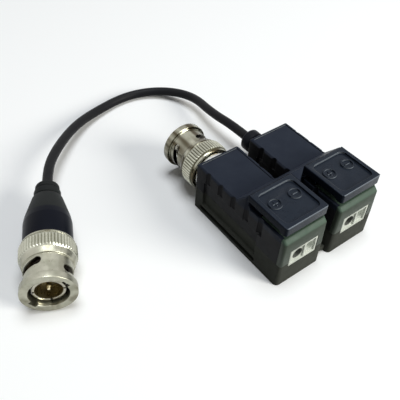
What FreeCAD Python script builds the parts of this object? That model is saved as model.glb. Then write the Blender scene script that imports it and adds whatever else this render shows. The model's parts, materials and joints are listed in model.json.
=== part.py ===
import FreeCAD
import Part
import Sketcher
import math
import os
import re

# A pair of passive video baluns, clipped side by side. The left unit carries a bayonet
# plug on its back wall, and the right unit a short pigtail cord with the same plug.
# Millimetres, +X across the pair to the right, +Y towards the plugs, +Z up. The origin
# is on the surface that the pair stands on, in the middle of the two housings and the
# fixed plug. Each unit is drawn from its own front, bottom, left corner, and each plug
# from the middle of its mating face, with X running back along its axis.

SIZES = {
    # Housing of one unit
    "unit_width": 15.8,
    "unit_length": 36.4,
    "body_height": 16.0,
    "head_height": 17.2,
    "seam_height": 7.7,
    "wall": 1.6,
    "floor_thickness": 3.0,
    "unit_gap": 3.3,
    "side_lean": 0.9,
    "corner_radius": 0.5,
    "top_chamfer": 0.45,
    "line_inset": 1.0,
    "line_width": 0.25,
    "line_depth": 0.15,
    "ramp_foot": 19.4,
    "ramp_top": 14.9,
    "ramp_height": 21.2,
    "part_gap": 0.2,
    "hub_front": 13.5,
    "hub_back": 20.5,
    # Recess on the side walls, with grip flutes in the band above it
    "flute_radius": 1.1,
    "flute_centre": 0.2,
    "flute_pitch": 5.4,
    "flute_first": 9.3,
    "flute_count": 5,
    "recess_front": 9.6,
    "recess_back": 32.6,
    "recess_bottom": 3.4,
    "recess_top": 11.8,
    "recess_depth": 1.0,
    # Side rail: tongue on the right, groove on the left
    "groove_bottom": 0.8,
    "groove_height": 1.6,
    "groove_depth": 2.4,
    "groove_front": 10.0,
    "groove_back": 33.0,
    "rail_clearance": 0.1,
    "tongue_front": 1.5,
    "tongue_back": 32.6,
    # Terminal block and wire guide
    "plate_thickness": 1.6,
    "plate_bevel": 1.1,
    "plate_round": 0.8,
    "fit_clearance": 0.1,
    "small_edge": 0.3,
    "overcut": 1.0,
    "block_back": 10.2,
    "guide_left": 3.2,
    "guide_right": 12.9,
    "guide_bottom": 6.1,
    "guide_top": 12.3,
    "guide_depth": 4.9,
    "guide_setback": 0.1,
    "cell_depth": 0.45,
    "cell_rim": 0.6,
    "wire_first": 6.5,
    "wire_pitch": 4.2,
    "wire_height": 9.0,
    "wire_radius": 1.1,
    "funnel_radius": 1.65,
    "funnel_depth": 1.3,
    "chamber_width": 3.6,
    "chamber_front": 5.4,
    "chamber_back": 9.4,
    "chamber_floor": 8.2,
    # Clamp springs and contact bars
    "leaf_thickness": 0.3,
    "leaf_width": 3.0,
    "leaf_top": 15.6,
    "leaf_tip": 9.4,
    "bar_width": 2.0,
    "bar_thickness": 0.4,
    "bar_back": 17.0,
    # Press lever
    "lever_margin": 0.8,
    "lever_top": 21.5,
    "lever_thickness": 2.1,
    "lever_front": 0.7,
    "lever_gap": 0.2,
    "lip_depth": 1.8,
    "lip_drop": 0.6,
    "dish_depth": 0.6,
    "dish_margin": 1.25,
    "dish_radius": 1.6,
    "ring_offset": 3.3,
    "ring_place": 9.1,
    "ring_radius": 1.9,
    "ring_band": 0.45,
    "ring_rise": 0.35,
    "pivot_place": 11.95,
    "pivot_height": 15.0,
    "trunnion_radius": 0.9,
    "trunnion_length": 0.6,
    "running_clearance": 0.05,
    "ear_thickness": 1.4,
    "ear_radius": 1.15,
    "prong_width": 2.6,
    "prong_front": 7.0,
    "prong_back": 8.6,
    "prong_reach": 3.1,
    # Circuit board and its parts
    "board_margin": 0.6,
    "board_front": 14.2,
    "board_back": 31.9,
    "board_thickness": 1.2,
    "post_size": 1.8,
    "core_place": 26.0,
    "core_outer": 4.4,
    "core_inner": 2.4,
    "core_height": 3.4,
    "turn_wire": 0.35,
    "turn_width": 0.5,
    "turn_count": 14,
    "suppressor_radius": 1.3,
    "suppressor_length": 5.0,
    "suppressor_place": 17.6,
    # Bayonet plug, measured back from its mating face
    "flange_radius": 7.1,
    "flange_thickness": 2.0,
    "barrel_radius": 6.15,
    "shoulder_start": 8.0,
    "knurl_start": 9.6,
    "knurl_end": 14.2,
    "knurl_radius": 7.4,
    "knurl_depth": 0.3,
    "knurl_count": 54,
    "sleeve_end": 14.9,
    "band_radius": 7.05,
    "bayonet_bore": 4.95,
    "chamber_start": 7.2,
    "lip_thickness": 1.0,
    "entry_width": 2.3,
    "entry_radius": 5.75,
    "entry_length": 4.6,
    "entry_angle": 55,
    "slot_width": 2.1,
    "slot_start": 4.35,
    "slot_travel": 1.95,
    "slot_turn": 92,
    "detent_radius": 1.15,
    "section_turn": 107,
    "contact_setback": 1.2,
    "contact_radius": 4.075,
    "contact_bore": 3.45,
    "contact_slot": 0.5,
    "contact_slot_end": 6.2,
    "contact_depth": 7.0,
    "shoulder_front": 7.6,
    "shoulder_back": 12.3,
    "shoulder_radius": 5.3,
    "neck_radius": 4.3,
    "core_bore": 2.2,
    "pin_radius": 0.675,
    "pin_setback": 1.6,
    "insulator_face": 5.2,
    "gasket_thickness": 0.7,
    "washer_thickness": 0.3,
    "washer_cone": 0.55,
    "sleeve_clearance": 0.08,
    "collar_start": 15.2,
    # Fixed plug on the left unit
    "neck_end": 16.8,
    "fixed_axis_x": 7.45,
    "axis_rise": 0.14,
    "collar_radius": 6.2,
    "stub_radius": 3.6,
    "stub_end": 20.0,
    "fixed_pin_end": 21.1,
    "nut_radius": 5.2,
    "nut_thickness": 1.5,
    # Pigtail: gland, cord and free plug
    "cord_radius": 1.5,
    "boot_exit": 7.6,
    "gland_exit": 7.7,
    "gland_axis_z": 7.5,
    "gland_flange_radius": 4.2,
    "gland_neck_radius": 3.0,
    "gland_waist_radius": 2.5,
    "gland_collar_radius": 3.5,
    "gland_collar_start": 4.4,
    "gland_collar_end": 8.1,
    "gland_round": 0.6,
    "free_plug_x": -50.07,
    "free_plug_y": 26.61,
    "free_plug_turn": 65.67,
    "ferrule_end": 20.0,
    "ferrule_radius": 5.4,
    "boot_start": 15.25,
    "boot_radius": 6.5,
    "boot_cone_start": 24.3,
    "boot_cone_shoulder": 26.4,
    "boot_shoulder_radius": 6.2,
    "boot_cone_end": 31.5,
    "boot_cone_radius": 4.3,
    "boot_waist_radius": 2.9,
    "boot_ring_start": 32.4,
    "boot_ring_end": 34.5,
    "boot_ring_radius": 3.75,
    "boot_tail_start": 35.1,
    "boot_tail_radius": 3.4,
    "boot_tail_round": 0.5,
    "boot_end": 37.1,
    # Clip that joins the two units
    "clip_bottom": 11.5,
    "clip_front": 12.0,
    "peg_radius": 1.0,
    "peg_length": 2.0,
    "peg_place": 17.2,
    "peg_height": 14.2,
}

PLACES = {
    "unit_pitch": "unit_width + unit_gap",
    "tongue_reach": "unit_gap + groove_depth - rail_clearance",
    "origin_x": "(unit_pitch + unit_width + tongue_reach) / 2",
    "origin_y": "(unit_length + neck_end) / 2",
    "back_wall": "unit_length - wall",
    "inner_right": "unit_width - wall",
    "unit_middle": "unit_width / 2",
    "rim_inset": "side_lean * body_height / ramp_height",
    "passage_top": "board_top + 2 * suppressor_radius + part_gap",
    "fixed_axis_z": "(floor_thickness + body_height - wall) / 2 + axis_rise",
    "lever_right": "unit_width - lever_margin",
    "lever_width": "unit_width - 2 * lever_margin",
    "lever_back": "ramp_top - lever_gap",
    "lever_floor": "lever_top - lever_thickness",
    "ear_outer": "wall + fit_clearance",
    "board_top": "chamber_floor",
    "board_bottom": "chamber_floor - board_thickness",
    "sleeve_bore": "shoulder_radius + sleeve_clearance",
    "lip_bore": "neck_radius + sleeve_clearance",
    "lip_front": "sleeve_end - lip_thickness",
    "slot_reach": "barrel_radius * sin(slot_turn / 2)",
    "gland_x": "unit_middle",
}

# Part of the shorter run beside a corner of the cord that its arc takes up
RUN_SHARE = 0.45

# The cord's route between its two straight exits, from the left unit's front corner
CORD_ROUTE = [
    (-25.0, 75.4, 6.6),
    (-14.6, 85.0, 4.4),
    (-4.6, 90.8, 2.3),
    (10.9, 94.3, 1.6),
    (22.7, 89.1, 2.3),
    (28.9, 77.8, 3.9),
    (26.6, 62.9, 6.2),
]

doc = FreeCAD.newDocument("video_balun_pair")
sheet = doc.addObject("Spreadsheet::Sheet", "dims")
for row, (alias, size) in enumerate(SIZES.items(), start=1):
    sheet.set(f"A{row}", str(size))
    sheet.setAlias(f"A{row}", alias)
doc.recompute()

nodes = []


def bound(text):
    """Spell an expression in size and place names as references to the sheet."""

    def spell(match):
        word = match.group()
        if word in PLACES:
            return "(" + bound(PLACES[word]) + ")"
        return "dims." + word if word in SIZES else word

    return re.sub(r"[a-z][a-z_0-9]*", spell, text)


def mm(text):
    """Value of an expression in size and place names."""
    return float(sheet.evalExpression(bound(text)))


def bind(item, path, text):
    """Tie one property of an object to the sheet."""
    item.setExpression(path, bound(text))


def node(item, label):
    """Give a finished sub-part its own name and list it for export."""
    item.Label = label
    nodes.append(item)
    return item


# Sketches, pads and pockets

PLANES = {"XY": ("XY_Plane", 1), "XZ": ("XZ_Plane", -1), "YZ": ("YZ_Plane", 1)}


def origin_part(body, role):
    """Origin plane or axis of a body, found by its role."""
    return next(item for item in body.Origin.OriginFeatures if item.Role == role)


def new_sketch(body, name, plane, at="0", turn=None):
    """Empty sketch on an origin plane, moved along its world axis and turned about X."""
    role, sign = PLANES[plane]
    sketch = body.newObject("Sketcher::SketchObject", name)
    sketch.AttachmentSupport = [(origin_part(body, role), "")]
    sketch.MapMode = "FlatFace"
    if turn is not None:
        sketch.AttachmentOffset = FreeCAD.Placement(
            FreeCAD.Vector(), FreeCAD.Rotation(FreeCAD.Vector(1, 0, 0), mm(turn)))
        bind(sketch, "AttachmentOffset.Rotation.Angle", turn)
    bind(sketch, "AttachmentOffset.Base.z", at if sign > 0 else f"-({at})")
    return sketch


def place_point(sketch, geometry, vertex, x, y):
    """Hold one point of a sketch at two expressions, from the sketch's origin."""
    for kind, text in (("DistanceX", x), ("DistanceY", y)):
        index = sketch.addConstraint(
            Sketcher.Constraint(kind, -1, 1, geometry, vertex, mm(text)))
        bind(sketch, f"Constraints[{index}]", text)


def outline(body, name, plane, points, at="0", turn=None):
    """Closed outline of straight edges through points given as pairs of expressions."""
    sketch = new_sketch(body, name, plane, at, turn)
    corners = [FreeCAD.Vector(mm(x), mm(y), 0) for x, y in points]
    count = len(corners)
    for index in range(count):
        edge = Part.LineSegment(corners[index], corners[(index + 1) % count])
        sketch.addGeometry(edge, False)
    for index in range(count):
        following = (index + 1) % count
        sketch.addConstraint(Sketcher.Constraint("Coincident", index, 2, following, 1))
    for index, (x, y) in enumerate(points):
        place_point(sketch, index, 1, x, y)
    return sketch


def circles(body, name, plane, rings, at="0", turn=None):
    """Sketch of circles, each given as centre x, centre y and radius expressions."""
    sketch = new_sketch(body, name, plane, at, turn)
    for index, (x, y, radius) in enumerate(rings):
        centre = FreeCAD.Vector(mm(x), mm(y), 0)
        ring = Part.Circle(centre, FreeCAD.Vector(0, 0, 1), mm(radius))
        sketch.addGeometry(ring, False)
        place_point(sketch, index, 3, x, y)
        size = sketch.addConstraint(Sketcher.Constraint("Radius", index, mm(radius)))
        bind(sketch, f"Constraints[{size}]", radius)
    return sketch


def rectangle(left, low, right, high):
    """Corner points of a rectangle, for an outline."""
    return [(left, low), (right, low), (right, high), (left, high)]


def extrude(body, kind, sketch, length):
    """Pad or pocket from the sketch towards the positive world axis."""
    feature = body.newObject(f"PartDesign::{kind}", f"{sketch.Name}_{kind.lower()}")
    feature.Profile = (sketch, [""])
    bind(feature, "Length", length)
    backwards = sketch.AttachmentSupport[0][0].Role == "XZ_Plane"
    feature.Reversed = backwards if kind == "Pad" else not backwards
    return feature


def pad(body, sketch, length):
    """Add material, from the sketch towards the positive world axis."""
    return extrude(body, "Pad", sketch, length)


def pocket(body, sketch, length):
    """Cut material, from the sketch towards the positive world axis."""
    doc.recompute()
    before = body.Shape.Volume
    feature = extrude(body, "Pocket", sketch, length)
    doc.recompute()
    if body.Shape.Volume > before - 1e-6:
        raise ValueError(f"{sketch.Name} cuts nothing")
    return feature


def spin(body, sketch):
    """Turn an outline about the body's X axis."""
    feature = body.newObject("PartDesign::Revolution", f"{sketch.Name}_turned")
    feature.Profile = (sketch, [""])
    feature.ReferenceAxis = (sketch, ["H_Axis"])
    feature.Angle = 360
    return feature


def dress(body, kind, size_name, size, chosen):
    """Fillet or chamfer the edges of the body that pass a test."""
    doc.recompute()
    base = body.Tip
    names = [f"Edge{index}" for index, edge in enumerate(base.Shape.Edges, start=1)
             if chosen(edge)]
    feature = body.newObject(f"PartDesign::{kind}", f"{body.Name}_{kind.lower()}")
    feature.Base = (base, names)
    bind(feature, size_name, size)
    return feature


def fillet(body, radius, chosen):
    """Round the chosen edges."""
    return dress(body, "Fillet", "Radius", radius, chosen)


def chamfer(body, size, chosen):
    """Bevel the chosen edges."""
    return dress(body, "Chamfer", "Size", size, chosen)


def repeat_along(body, feature, role, length, count):
    """Repeat a feature along an origin axis of its body."""
    pattern = body.newObject("PartDesign::LinearPattern", f"{feature.Name}_row")
    pattern.Originals = [feature]
    pattern.Direction = (origin_part(body, role), [""])
    bind(pattern, "Length", length)
    bind(pattern, "Occurrences", count)
    body.Tip = pattern
    return pattern


def repeat_round(body, feature, role, count):
    """Repeat a feature in a full circle about an origin axis of its body."""
    pattern = body.newObject("PartDesign::PolarPattern", f"{feature.Name}_ring")
    pattern.Originals = [feature]
    pattern.Axis = (origin_part(body, role), [""])
    pattern.Angle = 360
    bind(pattern, "Occurrences", count)
    body.Tip = pattern
    return pattern


def runs_along(edge, axis):
    """True for a straight edge that is parallel to a world axis."""
    start, end = edge.Vertexes[0].Point, edge.Vertexes[-1].Point
    span = end - start
    return abs(span.Length - edge.Length) < 1e-6 and abs(abs(span[axis]) - edge.Length) < 1e-6


def lies_at(edge, axis, value):
    """True for an edge whose two ends share one coordinate value."""
    return all(abs(vertex.Point[axis] - value) < 1e-4 for vertex in edge.Vertexes)


# Where units and plugs stand

UNIT_X = {"left": "-origin_x", "right": "unit_pitch - origin_x"}


def new_body(label):
    """Empty solid body with a name."""
    return doc.addObject("PartDesign::Body", label)


def stand_in_unit(item, unit):
    """Move a sub-part from its unit's corner to the unit's place."""
    bind(item, "Placement.Base.x", UNIT_X[unit])
    bind(item, "Placement.Base.y", "-origin_y")


PLUGS = {
    "fixed": {"x": "fixed_axis_x - origin_x", "y": "unit_length + neck_end - origin_y",
              "z": "fixed_axis_z", "turn": "-90"},
    "free": {"x": "free_plug_x - origin_x", "y": "free_plug_y - origin_y",
             "z": "knurl_radius", "turn": "free_plug_turn"},
}


def stand_on_plug(item, plug):
    """Move a sub-part from the plug's mating face to the plug's place."""
    item.Placement = FreeCAD.Placement(
        FreeCAD.Vector(), FreeCAD.Rotation(FreeCAD.Vector(0, 0, 1), mm(PLUGS[plug]["turn"])))
    for axis in ("x", "y", "z"):
        bind(item, f"Placement.Base.{axis}", PLUGS[plug][axis])


# Housing shells

REAR_HOLE = {
    "left": ("fixed_axis_x", "fixed_axis_z", "stub_radius + fit_clearance"),
    "right": ("gland_x", "gland_axis_z", "gland_neck_radius + fit_clearance"),
}


def lean_sides(body):
    """Trim both side walls so that they lean inwards towards the top."""
    slopes = {
        "left": [("-wall", "0"), ("0", "0"), ("side_lean", "ramp_height"), ("-wall", "ramp_height")],
        "right": [("unit_width + wall", "0"), ("unit_width", "0"),
                  ("unit_width - side_lean", "ramp_height"), ("unit_width + wall", "ramp_height")],
    }
    for side, slope in slopes.items():
        pocket(body, outline(body, f"{body.Name}_{side}_slope", "XZ", slope), "unit_length")


def cut_recesses(body, low, high):
    """Long shallow recess in both side walls, between two heights."""
    for side, at in (("left", "0"), ("right", "unit_width - recess_depth")):
        shape = rectangle("recess_front", low, "recess_back", high)
        pocket(body, outline(body, f"{body.Name}_{side}_recess", "YZ", shape, at),
               "recess_depth")


def cut_flutes(body):
    """Row of round grip flutes down both side walls, from the top to the recess."""
    marks = circles(body, f"{body.Name}_flutes", "XY",
                    [("flute_centre", "flute_first", "flute_radius"),
                     ("unit_width - flute_centre", "flute_first", "flute_radius")],
                    "recess_top")
    first = pocket(body, marks, "head_height")
    repeat_along(body, first, "Y_Axis", "flute_pitch * (flute_count - 1)", "flute_count")


def cut_top_line(body):
    """Thin line in the top, along its back edge and its right edge."""
    right = "unit_width - rim_inset - line_inset"
    back = "unit_length - line_inset"
    points = [
        ("rim_inset + line_inset", back), (right, back), (right, "ramp_foot"),
        (f"{right} - line_width", "ramp_foot"), (f"{right} - line_width", f"{back} - line_width"),
        ("rim_inset + line_inset", f"{back} - line_width"),
    ]
    mark = outline(body, f"{body.Name}_top_line", "XY", points, "body_height - line_depth")
    pocket(body, mark, "2 * line_depth")


def cut_rear_hole(body, unit):
    """Round hole in the back wall, for the plug's stub or the gland's neck."""
    mark = circles(body, f"{body.Name}_rear_hole", "XZ", [REAR_HOLE[unit]],
                   "back_wall - wall / 2")
    pocket(body, mark, "2 * wall")


def lower_shell(unit):
    """Tray with floor, side rail, side recesses and four posts under the board."""
    label = f"{unit}_lower_shell"
    body = new_body(label)
    lean = "side_lean * seam_height / ramp_height"
    section = [("0", "0"), ("unit_width", "0"), (f"unit_width - {lean}", "seam_height"),
               (lean, "seam_height")]
    pad(body, outline(body, f"{label}_block", "XZ", section), "unit_length")
    fillet(body, "corner_radius",
           lambda edge: not runs_along(edge, 0) and not runs_along(edge, 1))
    pocket(body, outline(body, f"{label}_inside", "XY",
                         rectangle("wall", "wall", "inner_right", "back_wall"),
                         "floor_thickness"), "seam_height")
    pocket(body, outline(body, f"{label}_guide_notch", "XZ",
                         rectangle("guide_left", "guide_bottom", "guide_right", "guide_top"),
                         "0"), "guide_depth")
    cut_recesses(body, "recess_bottom", "head_height")
    side_groove(body)
    side_tongue(body)
    board_posts(body)
    cut_rear_hole(body, unit)
    stand_in_unit(body, unit)
    return node(body, label)


def side_groove(body):
    """Groove low in the left wall, with round ends, that takes a neighbour's tongue."""
    half = "groove_height / 2"
    middle = "groove_bottom + groove_height / 2"
    slot = outline(body, f"{body.Name}_groove", "YZ",
                   rectangle("groove_front", "groove_bottom", "groove_back",
                             "groove_bottom + groove_height"))
    pocket(body, slot, "groove_depth")
    ends = circles(body, f"{body.Name}_groove_ends", "YZ",
                   [("groove_front", middle, half), ("groove_back", middle, half)])
    pocket(body, ends, "groove_depth")


def side_tongue(body):
    """Tongue low on the right wall: a web across the gap, and a head for the groove."""
    head_front = "groove_front + rail_clearance"
    web_right = "unit_width + unit_gap - rail_clearance"
    head_right = "unit_width + tongue_reach"
    points = [("inner_right", "tongue_front"), (web_right, "tongue_front"),
              (web_right, head_front), (head_right, head_front),
              (head_right, "tongue_back"), ("inner_right", "tongue_back")]
    shape = outline(body, f"{body.Name}_tongue", "XY", points,
                    "groove_bottom + rail_clearance")
    pad(body, shape, "groove_height - 2 * rail_clearance")


def board_posts(body):
    """Posts on the floor, one under each corner of the circuit board."""
    left = "wall"
    right = "inner_right"
    front = "board_front"
    back = "board_back"
    spots = [
        rectangle(left, front, f"{left} + post_size", f"{front} + post_size"),
        rectangle(f"{right} - post_size", front, right, f"{front} + post_size"),
        rectangle(left, f"{back} - post_size", f"{left} + post_size", back),
        rectangle(f"{right} - post_size", f"{back} - post_size", right, back),
    ]
    for index, spot in enumerate(spots):
        mark = outline(body, f"{body.Name}_post_{index}", "XY", spot, "floor_thickness")
        pad(body, mark, "board_bottom - floor_thickness")


def upper_shell(unit):
    """Cover with a low back box, a ramp up to the lever and two cheeks beside it."""
    label = f"{unit}_upper_shell"
    body = new_body(label)
    side = [("plate_thickness", "seam_height"), ("plate_thickness", "head_height"),
            ("ramp_top", "head_height"), ("ramp_top", "ramp_height"),
            ("ramp_foot", "body_height"), ("unit_length", "body_height"),
            ("unit_length", "seam_height")]
    pad(body, outline(body, f"{label}_side", "YZ", side), "unit_width")
    lean_sides(body)
    back = mm("unit_length")
    fillet(body, "corner_radius",
           lambda edge: lies_at(edge, 1, back) and not runs_along(edge, 0))
    top, behind = mm("body_height"), mm("ramp_top")
    chamfer(body, "top_chamfer",
            lambda edge: edge.BoundBox.ZMin > top - 1e-3 and edge.BoundBox.YMax > behind + 1e-3
            and not (runs_along(edge, 0) and not lies_at(edge, 1, back)))
    pocket(body, outline(body, f"{label}_passage", "XY",
                         rectangle("wall", "0", "inner_right", "back_wall"),
                         "seam_height"), "passage_top - seam_height")
    pocket(body, outline(body, f"{label}_box", "XY",
                         rectangle("wall", "hub_back", "inner_right", "back_wall"),
                         "seam_height"), "body_height - wall - seam_height")
    pocket(body, outline(body, f"{label}_head", "XY",
                         rectangle("wall", "0", "inner_right", "hub_front"),
                         "seam_height"), "head_height")
    cut_recesses(body, "0", "recess_top")
    cut_flutes(body)
    cut_top_line(body)
    cut_sockets(body)
    cut_rear_hole(body, unit)
    cut_peg_hole(body, unit)
    stand_in_unit(body, unit)
    return node(body, label)


def cut_sockets(body):
    """Blind sockets in both cheeks for the lever's trunnions."""
    ring = ("pivot_place", "pivot_height", "trunnion_radius + fit_clearance")
    reach = "trunnion_length + fit_clearance"
    left = circles(body, f"{body.Name}_socket_left", "YZ", [ring], f"ear_outer - ({reach})")
    pocket(body, left, reach)
    right = circles(body, f"{body.Name}_socket_right", "YZ", [ring], "unit_width - ear_outer")
    pocket(body, right, reach)


def cut_peg_hole(body, unit):
    """Blind hole for the joining clip's peg, on the side that faces the other unit."""
    ring = ("peg_place", "peg_height", "peg_radius + running_clearance")
    depth = "peg_length + fit_clearance"
    at = f"unit_width - ({depth})" if unit == "left" else "0"
    pocket(body, circles(body, f"{body.Name}_peg_hole", "YZ", [ring], at), depth)


def joining_clip():
    """Bridge between the two ramps, with flanks that follow the leaning side walls."""
    body = new_body("joining_clip")
    side = [("clip_front", "clip_bottom"), ("clip_front", "ramp_height"),
            ("ramp_top", "ramp_height"), ("ramp_foot", "body_height"),
            ("ramp_foot", "clip_bottom")]
    pad(body, outline(body, "joining_clip_side", "YZ", side, "unit_width - side_lean"),
        "unit_gap + 2 * side_lean")
    flanks = {"left": ("unit_width", "-"), "right": ("unit_pitch", "+")}
    for name, (foot, out) in flanks.items():
        far = f"{foot} {out} side_lean"
        flank = [(far, "0"), (foot, "0"), (far, "ramp_height")]
        pocket(body, outline(body, f"joining_clip_{name}_flank", "XZ", flank), "unit_length")
    corner = [("unit_width", "clip_front"), ("unit_pitch + side_lean", "clip_front"),
              ("unit_pitch + side_lean", "ramp_top")]
    pocket(body, outline(body, "joining_clip_slant", "XY", corner, "clip_bottom"),
           "ramp_height")
    beside = rectangle("unit_width - side_lean", "clip_front", "lever_right + part_gap",
                       "ramp_top")
    pocket(body, outline(body, "joining_clip_lever_side", "XY", beside,
                         "lever_floor - lip_drop"), "ramp_height")
    ring = ("peg_place", "peg_height", "peg_radius")
    pegs = circles(body, "joining_clip_pegs", "YZ", [ring], "unit_width - peg_length")
    pad(body, pegs, "unit_gap + 2 * peg_length")
    stand_in_unit(body, "left")
    return node(body, "joining_clip")


# Terminal block, wire guide and clamps

WIRES = {"positive": "wire_first", "negative": "wire_first + wire_pitch"}


def terminal_block(unit):
    """Front plate with a bevelled top, and a block behind it with two clamp chambers."""
    label = f"{unit}_terminal_block"
    body = new_body(label)
    side = [("0", "seam_height"), ("0", "head_height - plate_bevel"),
            ("plate_bevel", "head_height"), ("plate_thickness", "head_height"),
            ("plate_thickness", "seam_height")]
    pad(body, outline(body, f"{label}_plate", "YZ", side), "unit_width")
    lean_sides(body)
    bevel_back = mm("plate_bevel")
    fillet(body, "plate_round",
           lambda edge: not runs_along(edge, 0) and edge.BoundBox.YMax < bevel_back + 1e-3)
    pad(body, outline(body, f"{label}_block", "XZ",
                      rectangle("ear_outer", "seam_height", "unit_width - ear_outer",
                                "head_height"), "plate_thickness"),
        "block_back - plate_thickness")
    pocket(body, outline(body, f"{label}_window", "XZ",
                         rectangle("guide_left", "seam_height", "guide_right", "guide_top"),
                         "0"), "guide_depth")
    for name, middle in WIRES.items():
        left = f"{middle} - chamber_width / 2"
        right = f"{middle} + chamber_width / 2"
        pocket(body, outline(body, f"{label}_{name}_chamber", "XY",
                             rectangle(left, "chamber_front", right, "chamber_back"),
                             "chamber_floor"), "head_height")
        slot_left = f"{middle} - bar_width / 2 - fit_clearance"
        slot_right = f"{middle} + bar_width / 2 + fit_clearance"
        pocket(body, outline(body, f"{label}_{name}_slot", "XZ",
                             rectangle(slot_left, "chamber_floor", slot_right,
                                       "chamber_floor + bar_thickness + fit_clearance"),
                             "chamber_back"), "block_back - chamber_back")
        pocket(body, circles(body, f"{label}_{name}_wire", "XZ",
                             [(middle, "wire_height", "wire_radius")], "guide_depth"),
               "chamber_front - guide_depth")
    stand_in_unit(body, unit)
    return node(body, label)


def wire_guide(unit):
    """Pale insert in the front window, with a funnel in each of its two shallow cells."""
    label = f"{unit}_wire_guide"
    body = new_body(label)
    left = "guide_left + fit_clearance"
    right = "guide_right - fit_clearance"
    low = "guide_bottom + fit_clearance"
    high = "guide_top - fit_clearance"
    pad(body, outline(body, f"{label}_block", "XZ", rectangle(left, low, right, high),
                      "guide_setback"), "guide_depth - guide_setback - fit_clearance")
    split = "wire_first + wire_pitch / 2"
    cells = {
        "positive": (f"{left} + cell_rim", f"{split} - cell_rim / 2"),
        "negative": (f"{split} + cell_rim / 2", f"{right} - cell_rim"),
    }
    for name, (cell_left, cell_right) in cells.items():
        pocket(body, outline(body, f"{label}_{name}_cell", "XZ",
                             rectangle(cell_left, f"{low} + cell_rim", cell_right,
                                       f"{high} - cell_rim"), "guide_setback"), "cell_depth")
    for name, middle in WIRES.items():
        pocket(body, circles(body, f"{label}_{name}_hole", "XZ",
                             [(middle, "wire_height", "wire_radius")], "guide_setback"),
               "guide_depth")
        pocket(body, circles(body, f"{label}_{name}_mouth", "XZ",
                             [(middle, "wire_height", "funnel_radius")], "guide_setback"),
               "cell_depth + funnel_depth")
    stand_in_unit(body, unit)
    return node(body, label)


def clamp_spring(unit, name):
    """Leaf folded over itself, whose free end presses a wire onto the contact bar."""
    label = f"{unit}_{name}_clamp_spring"
    body = new_body(label)
    foot = "chamber_floor + bar_thickness"
    back = "chamber_back - fit_clearance"
    front = "chamber_front + 2 * leaf_thickness"
    tip = "chamber_front + chamber_width / 2 + 2 * leaf_thickness"
    points = [(back, foot), (back, "leaf_top"), (front, "leaf_top"), (tip, "leaf_tip"),
              (f"{tip} + leaf_thickness", "leaf_tip"),
              (f"{front} + leaf_thickness", "leaf_top - leaf_thickness"),
              (f"{back} - leaf_thickness", "leaf_top - leaf_thickness"),
              (f"{back} - leaf_thickness", foot)]
    strip = outline(body, f"{label}_side", "YZ", points, f"{WIRES[name]} - leaf_width / 2")
    pad(body, strip, "leaf_width")
    stand_in_unit(body, unit)
    return node(body, label)


def contact_bar(unit, name):
    """Flat bar from under the clamp spring back to the circuit board."""
    label = f"{unit}_{name}_contact_bar"
    bar = doc.addObject("Part::Box", label)
    bind(bar, "Length", "bar_width")
    bind(bar, "Width", "bar_back - chamber_front - fit_clearance")
    bind(bar, "Height", "bar_thickness")
    bind(bar, "Placement.Base.x", f"{UNIT_X[unit]} + {WIRES[name]} - bar_width / 2")
    bind(bar, "Placement.Base.y", "chamber_front + fit_clearance - origin_y")
    bind(bar, "Placement.Base.z", "chamber_floor")
    return node(bar, label)


# Press lever

def press_lever(unit):
    """Dished plate over the clamps, on two ears with trunnions, with a prong per clamp."""
    label = f"{unit}_press_lever"
    body = new_body(label)
    lip_back = "lever_front + lip_depth"
    side = [("lever_front", "lever_floor - lip_drop"), ("lever_front", "lever_top"),
            ("lever_back", "lever_top"), ("lever_back", "lever_floor"),
            (f"{lip_back} + lip_drop", "lever_floor"), (lip_back, "lever_floor - lip_drop")]
    pad(body, outline(body, f"{label}_plate", "YZ", side, "lever_margin"), "lever_width")
    top = mm("lever_top")
    fillet(body, "small_edge", lambda edge: lies_at(edge, 2, top))
    dish = rectangle("lever_margin + dish_margin", "lever_front + dish_margin",
                     "lever_right - dish_margin", "lever_back - dish_margin")
    pocket(body, outline(body, f"{label}_dish", "XY", dish, "lever_top - dish_depth"),
           "2 * dish_depth")
    floor = mm("lever_top - dish_depth")
    fillet(body, "dish_radius",
           lambda edge: runs_along(edge, 2) and edge.BoundBox.ZMin > floor - 1e-3)
    for side_name, sign in (("left", "-"), ("right", "+")):
        middle = f"unit_middle {sign} ring_offset"
        rings = [(middle, "ring_place", "ring_radius"),
                 (middle, "ring_place", "ring_radius - ring_band")]
        pad(body, circles(body, f"{label}_{side_name}_ring", "XY", rings,
                          "lever_top - dish_depth - ring_rise"), "2 * ring_rise")
    for name, middle in WIRES.items():
        prong = rectangle(f"{middle} - prong_width / 2", "prong_front",
                          f"{middle} + prong_width / 2", "prong_back")
        pad(body, outline(body, f"{label}_{name}_prong", "XY", prong,
                          "lever_floor - prong_reach"), "prong_reach")
    lever_ears(body)
    stand_in_unit(body, unit)
    return node(body, label)


def lever_ears(body):
    """Two round-ended ears below the plate, each with a trunnion on its outer face."""
    front = "pivot_place - ear_radius"
    back = "pivot_place + ear_radius"
    sides = {
        "left": ("ear_outer", "ear_outer - trunnion_length"),
        "right": ("unit_width - ear_outer - ear_thickness", "unit_width - ear_outer"),
    }
    for name, (ear_at, trunnion_at) in sides.items():
        web = outline(body, f"{body.Name}_{name}_ear", "YZ",
                      rectangle(front, "pivot_height", back, "lever_floor"), ear_at)
        pad(body, web, "ear_thickness")
        round_end = circles(body, f"{body.Name}_{name}_ear_end", "YZ",
                            [("pivot_place", "pivot_height", "ear_radius")], ear_at)
        pad(body, round_end, "ear_thickness")
        axle = circles(body, f"{body.Name}_{name}_trunnion", "YZ",
                       [("pivot_place", "pivot_height", "trunnion_radius")], trunnion_at)
        pad(body, axle, "trunnion_length")


# Circuit board and what is on it

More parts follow.
